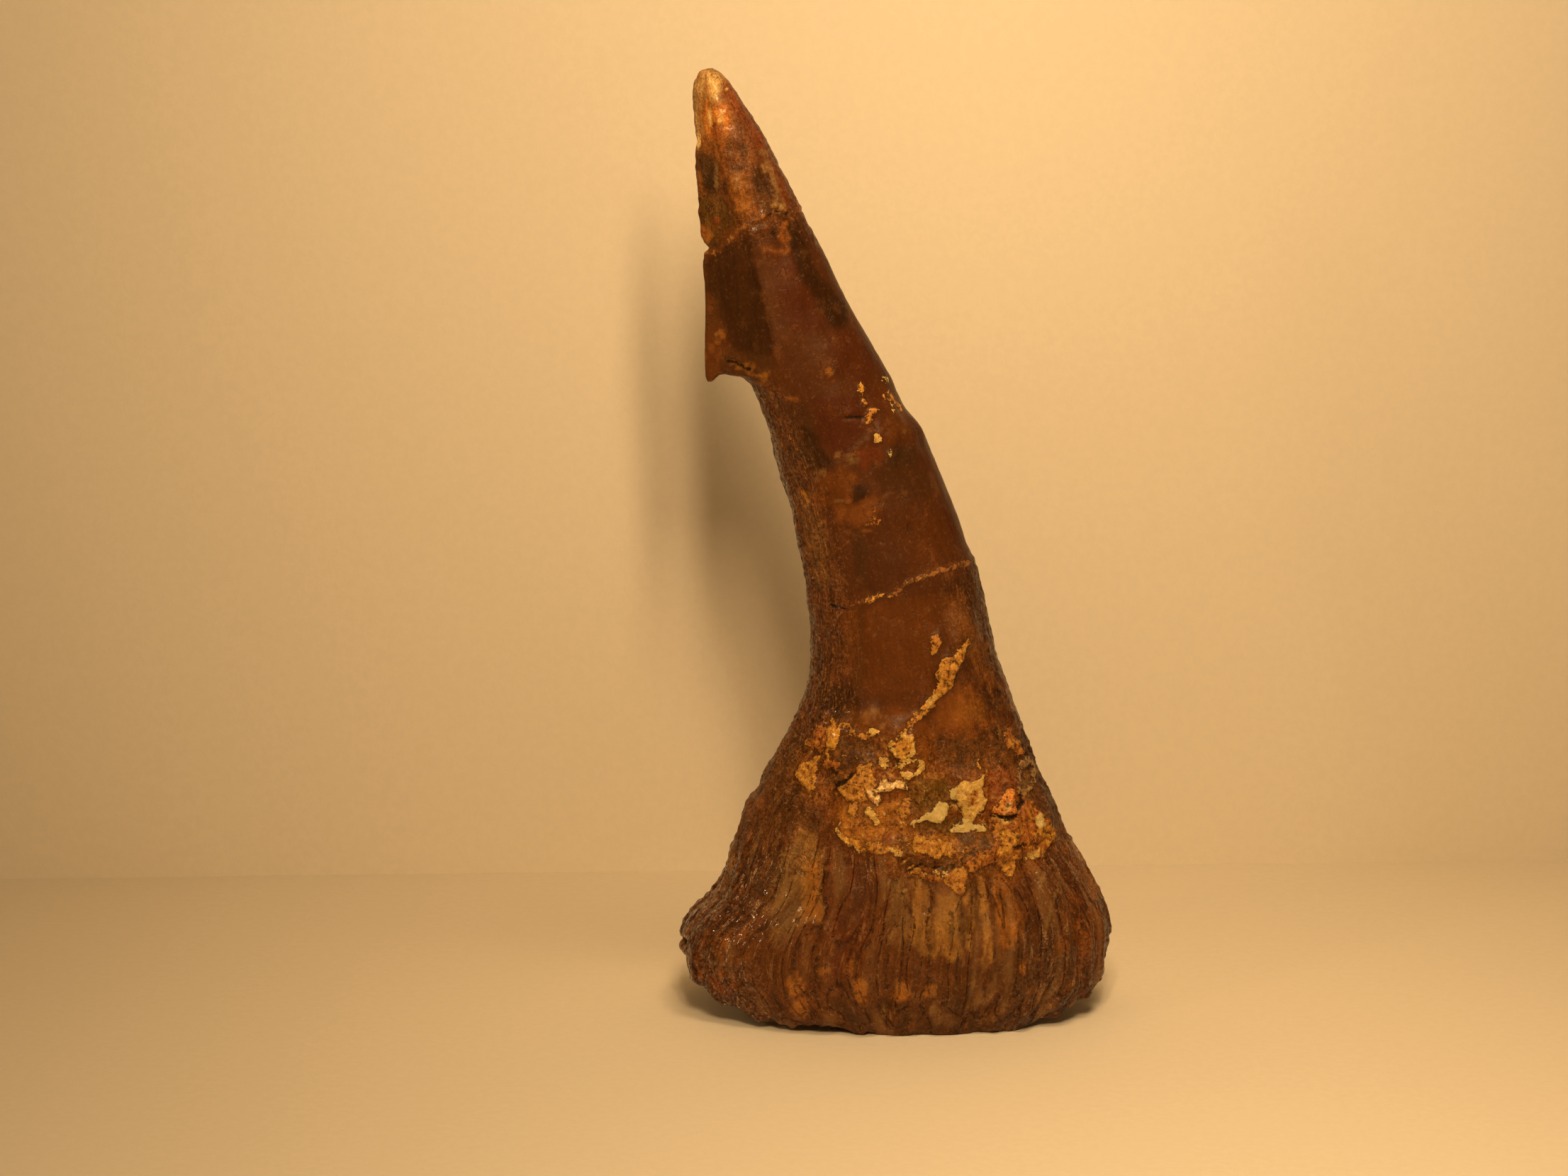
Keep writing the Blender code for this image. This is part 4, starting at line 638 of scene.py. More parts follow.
class SpineColours(bpy.types.PropertyGroup):
    """Colours of the fossil bone, the enamel, the mineral crust and the dirt, with the painted glints and the
    painted shade in open cracks.
    """

    mahogany: colour("Mahogany", "Bone and enamel over most of the spine", (0.118, 0.041, 0.015))
    oxblood: colour("Oxblood", "Red-brown enamel", (0.112, 0.03, 0.011))
    plum: colour("Plum", "Greyed red-brown bone", (0.135, 0.052, 0.023))
    bister: colour("Bister", "Dark stain in the enamel", (0.052, 0.021, 0.008))
    umber: colour("Umber", "Brown stain", (0.088, 0.038, 0.015))
    sienna: colour("Sienna", "Warm orange-brown bone", (0.185, 0.062, 0.013))
    chestnut: colour("Chestnut", "Orange-brown enamel near the tip", (0.32, 0.115, 0.028))
    rust: colour("Rust", "Red stain beside the tip", (0.2, 0.05, 0.015))
    amber: colour("Amber", "Orange enamel of the tip", (0.68, 0.25, 0.055))
    # Cream also paints the tip's highlights.
    cream: colour("Cream", "Pale enamel of the tip, and the palest crust", (0.8, 0.56, 0.27))
    horn: colour("Horn", "Grey-tan rim of the tip", (0.4, 0.245, 0.115))
    slate: colour("Slate", "Dark grey stain", (0.066, 0.036, 0.018))
    ash: colour("Ash", "Grey-tan streaks", (0.27, 0.16, 0.08))
    tan: colour("Tan", "Tan streaks on the root", (0.34, 0.172, 0.058))
    clay: colour("Clay", "Orange-tan patches", (0.33, 0.13, 0.032))
    olive: colour("Olive", "Olive mineral between the plates", (0.11, 0.062, 0.014))
    ochre: colour("Ochre", "Ochre crust", (0.42, 0.18, 0.035))
    gold: colour("Gold", "Yellow crust", (0.54, 0.26, 0.04))
    tan_crust: colour("Tan crust", "Tan crust", (0.48, 0.225, 0.042))
    rust_crust: colour("Rust crust", "Orange crust", (0.33, 0.11, 0.02))
    sage: colour("Sage", "Pale grey-green crust", (0.6, 0.43, 0.15))
    straw: colour("Straw", "Pale yellow crust", (0.64, 0.4, 0.11))
    # Painted highlights: pale flecks that stand in for small glints of the lamps on the root
    fleck: colour("Fleck", "Pale flecks on the root", (0.55, 0.36, 0.22))
    groove: colour("Groove", "Dirt in the grooves of the root", (0.035, 0.014, 0.005))
    dirt: colour("Dirt", "Dirt in dashes and in the crackle", (0.03, 0.012, 0.005))
    pore: colour("Pore", "Dirt in the pores of broken bone", (0.02, 0.009, 0.004))
    # Painted shade: the near-black inside of an open crack
    gap: colour("Gap", "Inside of an open crack", (0.012, 0.006, 0.003))


class StageSettings(bpy.types.PropertyGroup):
    """The floor, the backdrop, the light and the camera."""

    floor: colour("Floor", "Pale floor and backdrop", (0.8, 0.7, 0.54))
    wall_gap: length("Backdrop gap", "From the spine's middle back to the backdrop", 36 * MM)
    wall_turn: angle("Backdrop turn", "Turn of the backdrop", 2.6)
    lens: number("Lens", "Focal length in millimetres", 100.0)
    distance: length("Distance", "From the camera to what it looks at", 316.4 * MM)
    elevation: angle("Elevation", "Camera above the horizon", 12)
    key: number("Lamps", "Power of each of the two lamps", 0.061, unit="POWER")
    fill: number("Room", "Strength of the light from all round", 0.067)
    warmth: colour("Warmth", "Colour of the light", (1.0, 0.7, 0.38))


# ---------------------------------------------------------------- measuring

def smoothstep(low, high, value):
    share = np.clip((value - low) / (high - low), 0.0, 1.0)
    return share * share * (3 - 2 * share)


def lumps(points, size, seed, along=1.0):
    """Smooth noise from about -1 to 1 with lumps of that size, drawn out upwards where along is small."""
    shift = Vector((17.3, 9.1, 4.7)) * seed
    return np.array([noise.noise(Vector(p) + shift) for p in points * (1, 1, along) / size])


def lump_layers(points, seed, *layers):
    """Lumps of several sizes added up. Each layer has its weight, its size and its along."""
    return sum(
        weight * lumps(points, size, seed + step, along) for step, (weight, size, along) in enumerate(layers)
    )


def distance_to_line(x, z, corners):
    """From each place to the nearest point of an open line."""
    nearest = np.full(len(x), np.inf)
    for (x0, z0), (x1, z1) in zip(corners[:-1], corners[1:]):
        run, rise = x1 - x0, z1 - z0
        share = np.clip(((x - x0) * run + (z - z0) * rise) / (run * run + rise * rise), 0.0, 1.0)
        nearest = np.minimum(nearest, np.hypot(x - x0 - share * run, z - z0 - share * rise))
    return nearest


def depth_in_outline(x, z, corners):
    """From each place to the outline: positive inside it, negative outside."""
    inside = np.zeros(len(x), bool)
    closed = (*corners, corners[0])
    for (x0, z0), (x1, z1) in zip(closed[:-1], closed[1:]):
        if z0 != z1:
            crosses = (z0 > z) != (z1 > z)
            inside ^= crosses & (x < x0 + (z - z0) * (x1 - x0) / (z1 - z0))
    return np.where(inside, 1, -1) * distance_to_line(x, z, closed)


class Surface:
    """The sculpted mesh as arrays in millimetres, with each point's place on the spine."""

    SLICE = 0.5  # height of one slice in which the spine's width and depth are measured
    AROUND = 4  # slices above and below that each slice is averaged with
    BARB = 44.0  # above this height the grain leaves the left edge and runs up into the tip
    TIP_WIDTH = 1.2  # the least width that the spine is taken to have
    EVEN = 12.0  # half width at which lines that run with the grain lie at their true distance
    UNDER_ROOT = 8.0  # the hollow under the root lies below this height
    NO_CRACK = 9.0  # distance to a crack that is given where there is none

    def __init__(self, mesh):
        self.mesh = mesh
        self.points = self._read(mesh.vertices, "co") / MM
        self.normals = self._read(mesh.vertex_normals, "vector")
        self.x, self.y, self.height = self.points.T.copy()
        self.front = smoothstep(-0.2, 0.2, -self.normals[:, 1])
        self.back = 1 - self.front
        self.under = smoothstep(0.2, 0.6, -self.normals[:, 2]) * (self.height < self.UNDER_ROOT)
        self._measure()
        self._wear()
        self.ragged_x = lump_layers(self.points, 1, (0.32, 0.9, 1), (0.14, 0.35, 1))
        self.ragged_z = lump_layers(self.points, 3, (0.32, 0.9, 1), (0.14, 0.35, 1))
        self.blotches = lump_layers(self.points, 5, (1, 1.3, 1), (0.6, 0.5, 1))
        self.streaks = lump_layers(self.flow, 7, (1, 0.75, 0.13), (0.5, 0.3, 0.2))
        self.flecks = lump_layers(self.points, 9, (1, 0.7, 1), (0.6, 0.3, 1))
        self._crack()

    def _read(self, items, key):
        """Three numbers of each item, as rows."""
        values = np.empty(len(items) * 3, np.float32)
        items.foreach_get(key, values)
        return values.reshape(-1, 3).astype(float)

    def _measure(self):
        """Each point's place round the spine, from the spine's own width and depth at its height."""
        slices = (np.clip(self.height, 0, None) / self.SLICE).astype(int)
        middles = (np.arange(slices.max() + 1) + 0.5) * self.SLICE
        window = 2 * self.AROUND + 1

        def reach(values, pick, start):
            out = np.full(len(middles), start)
            pick.at(out, slices, values)
            padded = np.pad(out, self.AROUND, mode="edge")
            even = np.convolve(padded, np.full(window, 1 / window), mode="valid")
            return np.interp(self.height, middles, even)

        left, right = reach(self.x, np.minimum, np.inf), reach(self.x, np.maximum, -np.inf)
        near, far = reach(self.y, np.minimum, np.inf), reach(self.y, np.maximum, -np.inf)
        shaft_left = left[np.abs(self.height - self.BARB) < self.SLICE].min()
        top = self.height.max()
        tip_left = self.x[self.height > top - self.SLICE].mean() - self.TIP_WIDTH / 2
        above_barb = np.interp(self.height, (self.BARB, top), (shaft_left, tip_left))
        left = np.where(self.height > self.BARB, above_barb, left)
        half = np.maximum(right - left, self.TIP_WIDTH) / 2
        self.over = (self.x - (left + right) / 2) / half
        turn = np.arctan2((2 * self.y - near - far) / (far - near), self.over)
        # Lines that run with the grain draw together up the shaft, by half as much as its sides do.
        radius = np.sqrt(self.EVEN * half)
        self.flow = np.stack([radius * np.cos(turn), radius * np.sin(turn), self.height], 1)

    def _wear(self):
        """Where the surface is fibrous, fluted or crusted, and where it is broken rather than whole."""
        over, above, below = self.over, self.above, self.below
        shaft = above(SHAFT_FROM) * below(SHAFT_TO)
        low_shaft = shaft * below(LOW_SHAFT_TO)
        root, near_tip = below(ROOT_TO), above(NEAR_TIP_FROM)
        left, right = smoothstep(*LEFT_SIDE, over), smoothstep(*RIGHT_SIDE, over)
        root_left = smoothstep(*ROOT_LEFT_SIDE, over)
        band = above(BAND_FROM) * below(BAND_TO)
        self.fibrous = np.clip(shaft * left + 0.5 * low_shaft * right + 0.25 * root, 0, 1)
        self.broken = np.clip(
            0.12 + 0.6 * shaft * left + 0.4 * low_shaft * right + 0.55 * band + 0.4 * near_tip
            + root * (0.18 + 0.7 * root_left + 0.3 * right), 0, 1,
        )
        self.deep = above(DEEP_FROM) * (1 - 0.55 * left) * (1 - 0.8 * above(TIP_FROM))
        self.fluted = below(GROOVES_TO)
        # The band of mineral grains sags in the middle.
        sagging = self.height + 0.9 * np.cos(1.4 * over)
        self.crusted = smoothstep(*GRAINS_FROM, sagging) * (1 - smoothstep(*GRAINS_TO, sagging))
        self.wet = np.clip(self.broken - 0.1, 0, 1) * (1 - 0.93 * self.crusted) * (1 - 0.6 * near_tip)

    def _crack(self):
        """The distance to the healed seams, and to the open cracks, which only the front has."""
        x, z = self.ragged(0.5)
        self.seam = np.min([distance_to_line(x, z, corners) for corners in SEAMS], 0)
        self.crack = np.min([distance_to_line(x, z, corners) - half for corners, half in CRACKS], 0)
        self.crack[self.front < 0.5] = self.NO_CRACK

    def above(self, heights):
        """0 up to the first height, and 1 from the second on."""
        return smoothstep(*heights, self.height)

    def below(self, heights):
        """1 up to the first height, and 0 from the second on."""
        return 1 - self.above(heights)

    def near(self, x, z, reach_squared):
        """1 at a place, and about a third of that at its reach."""
        return np.exp(-((self.x - x) ** 2 + (self.height - z) ** 2) / reach_squared)

    def ragged(self, share):
        """Each point's x and height, moved about by a share of the ragged noise, to fray an outline."""
        return self.x + share * self.ragged_x, self.height + share * self.ragged_z

    def thin_out_grains(self, ground):
        """Keeps the mineral grains to blotches, to the front's own band and to where the bone is pale."""
        banded = smoothstep(-0.4, 0.5, depth_in_outline(*self.ragged(1), BAND))
        self.crusted *= smoothstep(-0.4, 0.3, self.blotches) * (1 - self.front * 0.75 * (1 - banded))
        self.crusted *= 0.25 + 0.75 * smoothstep(0.09, 0.17, ground.tint[:, 0])

    def move_out(self, shift):
        self.points += self.normals * shift[:, None]

    def store(self, name, values):
        """Keeps one number or three for each point, for the material to read."""
        kind, key = ("FLOAT", "value") if values.ndim == 1 else ("FLOAT_VECTOR", "vector")
        field = self.mesh.attributes.new(name, kind, "POINT")
        field.data.foreach_set(key, values.astype(np.float32).ravel())

    def write_back(self):
        self.mesh.vertices.foreach_set("co", (self.points * MM).astype(np.float32).ravel())
        self.mesh.update()


# ---------------------------------------------------------------- painting

class Ground:
    """The colour of the bone and enamel at each point, under the crust, with painted shade on the edges that
    turn away and painted highlights at the tip.
    """

    def __init__(self, surface, colours):
        self.surface, self.colours = surface, colours
        self.tint = np.tile(np.array(colours["mahogany"]), (len(surface.x), 1))

    def _lay(self, name, share):
        self.tint += (np.array(self.colours[name]) - self.tint) * share[:, None]

    def add_areas(self, areas, facing):
        """Lays each outlined area, broken up within as well as at its edge."""
        blotches, streaks, flecks = self.surface.blotches, self.surface.streaks, self.surface.flecks
        breaks = {
            "soft": (0.12 * blotches, 1.0),
            "blotchy": (0.3 * blotches, 1 - 0.6 * smoothstep(0.1, 0.7, flecks)),
            "streaky": (0.7 * streaks, 1 - 0.6 * smoothstep(0.1, 0.4, streaks)),
            "crumbs": (0.4 * flecks, smoothstep(-0.15, 0.15, flecks)),
        }
        x, z = self.surface.ragged(0.6)
        for name, strength, soft, grain, corners in areas:
            wander, within = breaks[grain]
            inside = smoothstep(-soft, soft, depth_in_outline(x, z, corners) + wander)
            self._lay(name, strength * facing * within * inside)

    def add_stains(self, stains, facing):
        """Lays each stain, with an edge that follows its grain."""
        surface = self.surface
        edges = {
            "soft": (0.25 * surface.blotches, 0.4),
            "blotchy": (0.75 * surface.blotches, 0.2),
            "streaky": (0.8 * surface.streaks, 0.2),
        }
        for name, x, z, half_width, half_height, lean, strength, grain in stains:
            turn = math.radians(lean)
            run, rise = surface.x - x, surface.height - z
            over = (run * math.cos(turn) + rise * math.sin(turn)) / half_width
            up = (rise * math.cos(turn) - run * math.sin(turn)) / half_height
            wander, edge = edges[grain]
            outside = smoothstep(1 - edge, 1 + edge, np.hypot(over, up) + wander)
            self._lay(name, strength * facing * (1 - outside))

    def darken(self):
        """Warms it all, darkens the shaft's enamel and the lower part, and paints shade on the edges that
        turn away.
        """
        surface = self.surface
        # Painted shade: the right edge, and the left edge below the lobe, are painted darker where they turn
        # away.
        painted_edge_shade = smoothstep(*RIGHT_EDGE, surface.over)
        painted_edge_shade += smoothstep(*LEFT_EDGE, surface.over) * surface.below(LEFT_LOBE_TO)
        self.tint *= (1.0, 0.9, 0.6)
        self.tint *= 1 - surface.deep[:, None] * DEEP_ENAMEL
        self.tint *= 1 - surface.below(LOWER_PART_TO)[:, None] * LOWER_PART
        self.tint *= 1 - painted_edge_shade[:, None] * PAINTED_EDGE_SHADE


class Crust:
    """Mineral plates, loops and veins: how deep in them each point lies, their colour and thickness."""

    OUTSIDE = -9.0  # depth that is given where there is no crust
    THICK = (0.15, 0.25)  # between thin plates, which crumble away, and thick ones with clean edges
    SMOOTH = {"sage": 1.0, "straw": 0.5}  # how smooth a colour of crust is, where it isn't rough

    def __init__(self, surface, colours):
        self.colours = colours
        count = len(surface.x)
        self.x, self.z = surface.ragged(1)
        self.tint = np.tile(np.array(colours["ochre"]), (count, 1))
        self.depth = np.full(count, self.OUTSIDE)
        self.thickness, self.smooth = np.zeros(count), np.zeros(count)

    def _add(self, name, depth, thickness, facing):
        depth = depth * (1 + smoothstep(*self.THICK, thickness))
        depth = np.where(facing > 0.5, depth, self.OUTSIDE)
        over = (depth > 0) | (depth > np.maximum(self.depth, -0.4))
        self.tint[over] = self.colours[name]
        self.smooth[over] = self.SMOOTH.get(name, 0.0)
        self.depth = np.maximum(self.depth, depth)
        self.thickness = np.maximum(self.thickness, thickness * smoothstep(-0.12, 0.2, depth))

    def add(self, plates, loops, veins, facing):
        for name, thickness, corners in plates:
            self._add(name, depth_in_outline(self.x, self.z, corners), thickness, facing)
        for name, x, z, half_width, half_height, width, thickness in loops:
            out = np.hypot((self.x - x) / half_width, (self.z - z) / half_height)
            ring = width / 2 - np.abs(out - 1) * min(half_width, half_height)
            self._add(name, ring, thickness, facing)
        for name, corners, half_width, thickness in veins:
            self._add(name, half_width - distance_to_line(self.x, self.z, corners), thickness, facing)


# ---------------------------------------------------------------- sculpting

def apply_modifier(piece, kind, **settings):
    modifier = piece.modifiers.new(kind.lower(), kind)
    for name, value in settings.items():
        setattr(modifier, name, value)
    bpy.context.view_layer.objects.active = piece
    bpy.ops.object.modifier_apply(modifier=modifier.name)


def twin(piece):
    other = piece.copy()
    other.data = piece.data.copy()
    bpy.context.scene.collection.objects.link(other)
    return other


def refined_copy(node, grain):
    """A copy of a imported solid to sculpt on: smoothed, then cut into even faces of about that size."""
    bpy.ops.object.select_all(action="DESELECT")
    piece = bpy.data.objects.new("spine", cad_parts[node].data.copy())
    bpy.context.scene.collection.objects.link(piece)
    bpy.context.view_layer.objects.active = piece
    piece.select_set(True)
    bpy.ops.object.mode_set(mode="EDIT")
    bpy.ops.mesh.select_all(action="SELECT")
    bpy.ops.mesh.remove_doubles(threshold=0.001 * MM)
    bpy.ops.mesh.tris_convert_to_quads()
    bpy.ops.object.mode_set(mode="OBJECT")

    # Smoothing draws the corners in, so they are first pushed out by as much.
    trial = twin(piece)
    apply_modifier(trial, "SUBSURF", levels=2, render_levels=2)
    for corner, drawn_in in zip(piece.data.vertices, trial.data.vertices):
        corner.co += corner.co - drawn_in.co
    bpy.data.objects.remove(trial)
    apply_modifier(piece, "SUBSURF", levels=2, render_levels=2)

    smooth_form = twin(piece)
    apply_modifier(piece, "REMESH", mode="VOXEL", voxel_size=grain, use_smooth_shade=True)
    apply_modifier(piece, "SHRINKWRAP", target=smooth_form, wrap_method="NEAREST_SURFACEPOINT")
    bpy.data.objects.remove(smooth_form)
    return piece


def raised_by(surface, crust, form):
    """How far each point moves out: flutes, fibres, wear, pits, plates, ridges and cracks, in mm."""
    points, flow, broken = surface.points, surface.flow, surface.broken
    flutes = lump_layers(flow, 11, (1, 1.1, 0.05), (0.5, 0.5, 0.1))
    fibres = lump_layers(flow, 13, (1, 0.7, 0.05), (0.6, 0.35, 0.1))
    wear = lump_layers(points, 15, (1, 2.2, 1), (0.5, 0.8, 1))
    grit = lumps(points, 0.45, 17)
    out = form.flutes / MM * (surface.below(FLUTES_TO) + 1.2 * surface.below(RIM_TO)) * flutes
    out += form.fibres / MM * (0.15 + 1.2 * surface.fibrous) * fibres
    out += form.wear / MM * (0.4 + broken) * wear
    out += form.grit / MM * broken * grit

    plates = crust.thickness * form.crust
    out += plates * (1 + 0.5 * surface.blotches) + 0.05 * grit * (plates > 0.02)
    pits = smoothstep(0.3, 0.6, lumps(points, 0.5, 18)) * smoothstep(0, 0.25, crust.depth)
    out -= 0.25 * pits

    # A healed crack is a low bead with a fine groove along each side.
    bead, grooves = smoothstep(0.3, 0, surface.seam), smoothstep(0.25, 0, np.abs(surface.seam - 0.35))
    out += form.seam / MM * (bead - 0.6 * grooves)
    out -= form.crack / MM * smoothstep(0.12, -0.02, surface.crack)
    for corners, half_width, raised in RIDGES:
        near = distance_to_line(surface.x, surface.height, corners)
        out += raised * surface.front * smoothstep(half_width, 0, near)
    return out * (1 - 0.8 * surface.under) * surface.above(FOOT_FROM)


def sculpt(surface, crust, form):
    """Moves the surface out and in, scallops its lower edge and dents its left edge."""
    surface.move_out(raised_by(surface, crust, form))
    scallops = smoothstep(0, 0.5, lumps(surface.points, 1, 19, 0))
    surface.points[:, 2] += 0.3 * scallops * surface.below(SCALLOPS_TO)
    for x, z, aside, reach in DENTS:
        surface.points[:, 0] += aside * surface.near(x, z, reach ** 2)
    surface.points[:, 2] = np.maximum(surface.points[:, 2], 0.02)


def sharpen_barb(surface):
    """Draws the barb's corner out to a point, which the smoothing had rounded, and hollows its underside."""
    point, hollow = surface.near(*BARB_POINT, 0.7), surface.near(*BARB_HOLLOW, 0.35)
    surface.points[:, 0] -= 0.02 * point
    surface.points[:, 2] += 0.45 * (hollow - point)


def build_spine(form, swatches):
    piece = refined_copy(NODE, form.grain * (1))
    surface = Surface(piece.data)
    colours = {name: tuple(getattr(swatches, name)) for name in SpineColours.__annotations__}

    crust = Crust(surface, colours)
    crust.add(FRONT_PLATES, FRONT_LOOPS, FRONT_VEINS, surface.front)
    crust.add(BACK_PLATES, BACK_LOOPS, BACK_VEINS, surface.back)
    ground = Ground(surface, colours)
    ground.add_areas(FRONT_AREAS, surface.front)
    ground.add_areas(BACK_AREAS, surface.back)
    ground.add_stains(FRONT_STAINS, surface.front)
    ground.add_stains(BACK_STAINS, surface.back)
    ground.darken()
    surface.thin_out_grains(ground)
    sculpt(surface, crust, form)
    sharpen_barb(surface)

    surface.store("flow", surface.flow)
    surface.store("ground", ground.tint)
    for name in ("tint", "depth", "smooth"):
        surface.store("crust_" + name, getattr(crust, name))
    for name in ("seam", "crack", "fibrous", "broken", "crusted", "fluted", "wet"):
        surface.store(name, getattr(surface, name))
    surface.write_back()

    piece.data.materials.clear()
    piece.data.materials.append(fossil_bone(colours))
    piece.data.shade_smooth()
    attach(piece, "root")
    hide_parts(NODE)
    return piece


# ---------------------------------------------------------------- finishes

# Factors of the bone's and the crust's own colour, from the darkest tone to the palest
BONE_TONES = ((0.32, (0.34, 0.3, 0.26)), (0.5, (0.97, 0.97, 0.97)), (0.68, (1.9, 1.9, 1.8)))
CRUST_TONES = (
    (0.38, (0.22, 0.17, 0.1)), (0.45, (0.6, 0.51, 0.37)), (0.54, (1.08, 1.04, 0.88)),
    (0.62, (1.75, 1.7, 1.5)),
)
# Colours of the mineral grains scattered over the band
GRAIN_COLOURS = ((0.34, "sienna"), (0.46, "rust_crust"), (0.54, "ochre"), (0.64, "gold"), (0.72, "cream"))
WARM_SHINE = (1.0, 0.85, 0.65)


class Value:
    """An output of a node. Expressions on values add their Math nodes."""

    def __init__(self, finish, socket):
        self.finish, self.socket = finish, socket

    def _math(self, operation, *terms):
        return self.finish.node("ShaderNodeMath", {"operation": operation}, dict(enumerate(terms)))

    def __add__(self, other):
        return self._math("ADD", self, other)

    def __abs__(self):
        return self._math("ABSOLUTE", self)

    def __sub__(self, other):
        return self._math("SUBTRACT", self, other)

    def __mul__(self, other):
        return self._math("MULTIPLY", self, other)

    def __rsub__(self, other):
        return self._math("SUBTRACT", other, self)

    __radd__, __rmul__ = __add__, __mul__

    def ramp(self, low, high, start=0.0, end=1.0):
        """From start, where this is at or under low, smoothly to end, where it is at or over high."""
        return self.finish.node(
            "ShaderNodeMapRange", {"interpolation_type": "SMOOTHSTEP"},
            {"Value": self, "From Min": low, "From Max": high, "To Min": start, "To Max": end},
        )


class Finish:
    """A material under construction. One method adds any node."""

    def __init__(self, name):
        self.material = bpy.data.materials.new(name)
        self.material.use_nodes = True
        self.tree = self.material.node_tree
        self.tree.nodes.clear()

    def node(self, kind, settings=None, inputs=None, output=0):
        """Adds a node: first its settings, or a ramp's stops, then its inputs by name or number."""
        node = self.tree.nodes.new(kind)
        for name, setting in (settings or {}).items():
            if name == "stops":
                stops = node.color_ramp.elements
                while len(stops) < len(setting):
                    stops.new(1.0)
                for stop, (position, shade) in zip(stops, setting):
                    stop.position, stop.color = position, (*shade, 1.0)
            else:
                setattr(node, name, setting)
        for name, given in (inputs or {}).items():
            socket = self._socket(node.inputs, name)
            if isinstance(given, Value):
                self.tree.links.new(given.socket, socket)
            elif socket.type == "RGBA" and len(given) == 3:
                socket.default_value = (*given, 1.0)
            else:
                socket.default_value = given
        return None if output is None else Value(self, self._socket(node.outputs, output))

    def _socket(self, sockets, name):
        """The socket with that number, identifier or name: a Mix node has several of one name."""
        if isinstance(name, int):
            return sockets[name]
        return {socket.identifier: socket for socket in sockets}.get(name) or sockets[name]

    def attribute(self, name, output="Fac"):
        return self.node("ShaderNodeAttribute", {"attribute_name": name}, output=output)

    def scaled(self, vector, factors):
        return self.node("ShaderNodeVectorMath", {"operation": "MULTIPLY"}, {0: vector, 1: factors})

    def place(self):
        """Object coordinates in millimetres."""
        return self.scaled(self.node("ShaderNodeTexCoord", output="Object"), (1 / MM,) * 3)

    def noise(self, vector, scale, detail, roughness):
        return self.node(
            "ShaderNodeTexNoise", {},
            {"Vector": vector, "Scale": scale, "Detail": detail, "Roughness": roughness, "Distortion": 0.0},
        )

    def warped(self, vector, value, by):
        """The vector, moved by a value round its middle."""
        return self.node("ShaderNodeVectorMath", {"operation": "ADD"}, {0: vector, 1: by * (value - 0.5)})

    def mix(self, share, under, over, blend="MIX"):
        return self.node(
            "ShaderNodeMix", {"data_type": "RGBA", "blend_type": blend, "clamp_factor": True},
            {"Factor_Float": share, "A_Color": under, "B_Color": over}, output="Result_Color",
        )

    def layered(self, under, layers):
        """Lays colours over one another in turn, from (share, colour) of each."""
        for share, over in layers:
            under = self.mix(share, under, over)
        return under

    def shades(self, value, stops):
        return self.node("ShaderNodeValToRGB", {"stops": stops}, {"Fac": value})

    def bump(self, height, distance, strength=1.0):
        return self.node("ShaderNodeBump", {}, {"Strength": strength, "Distance": distance, "Height": height})

    def surface(self, inputs):
        return self.node("ShaderNodeBsdfPrincipled", {}, inputs)

    def end(self, shader):
        self.node("ShaderNodeOutputMaterial", {}, {"Surface": shader}, output=None)
        return self.material


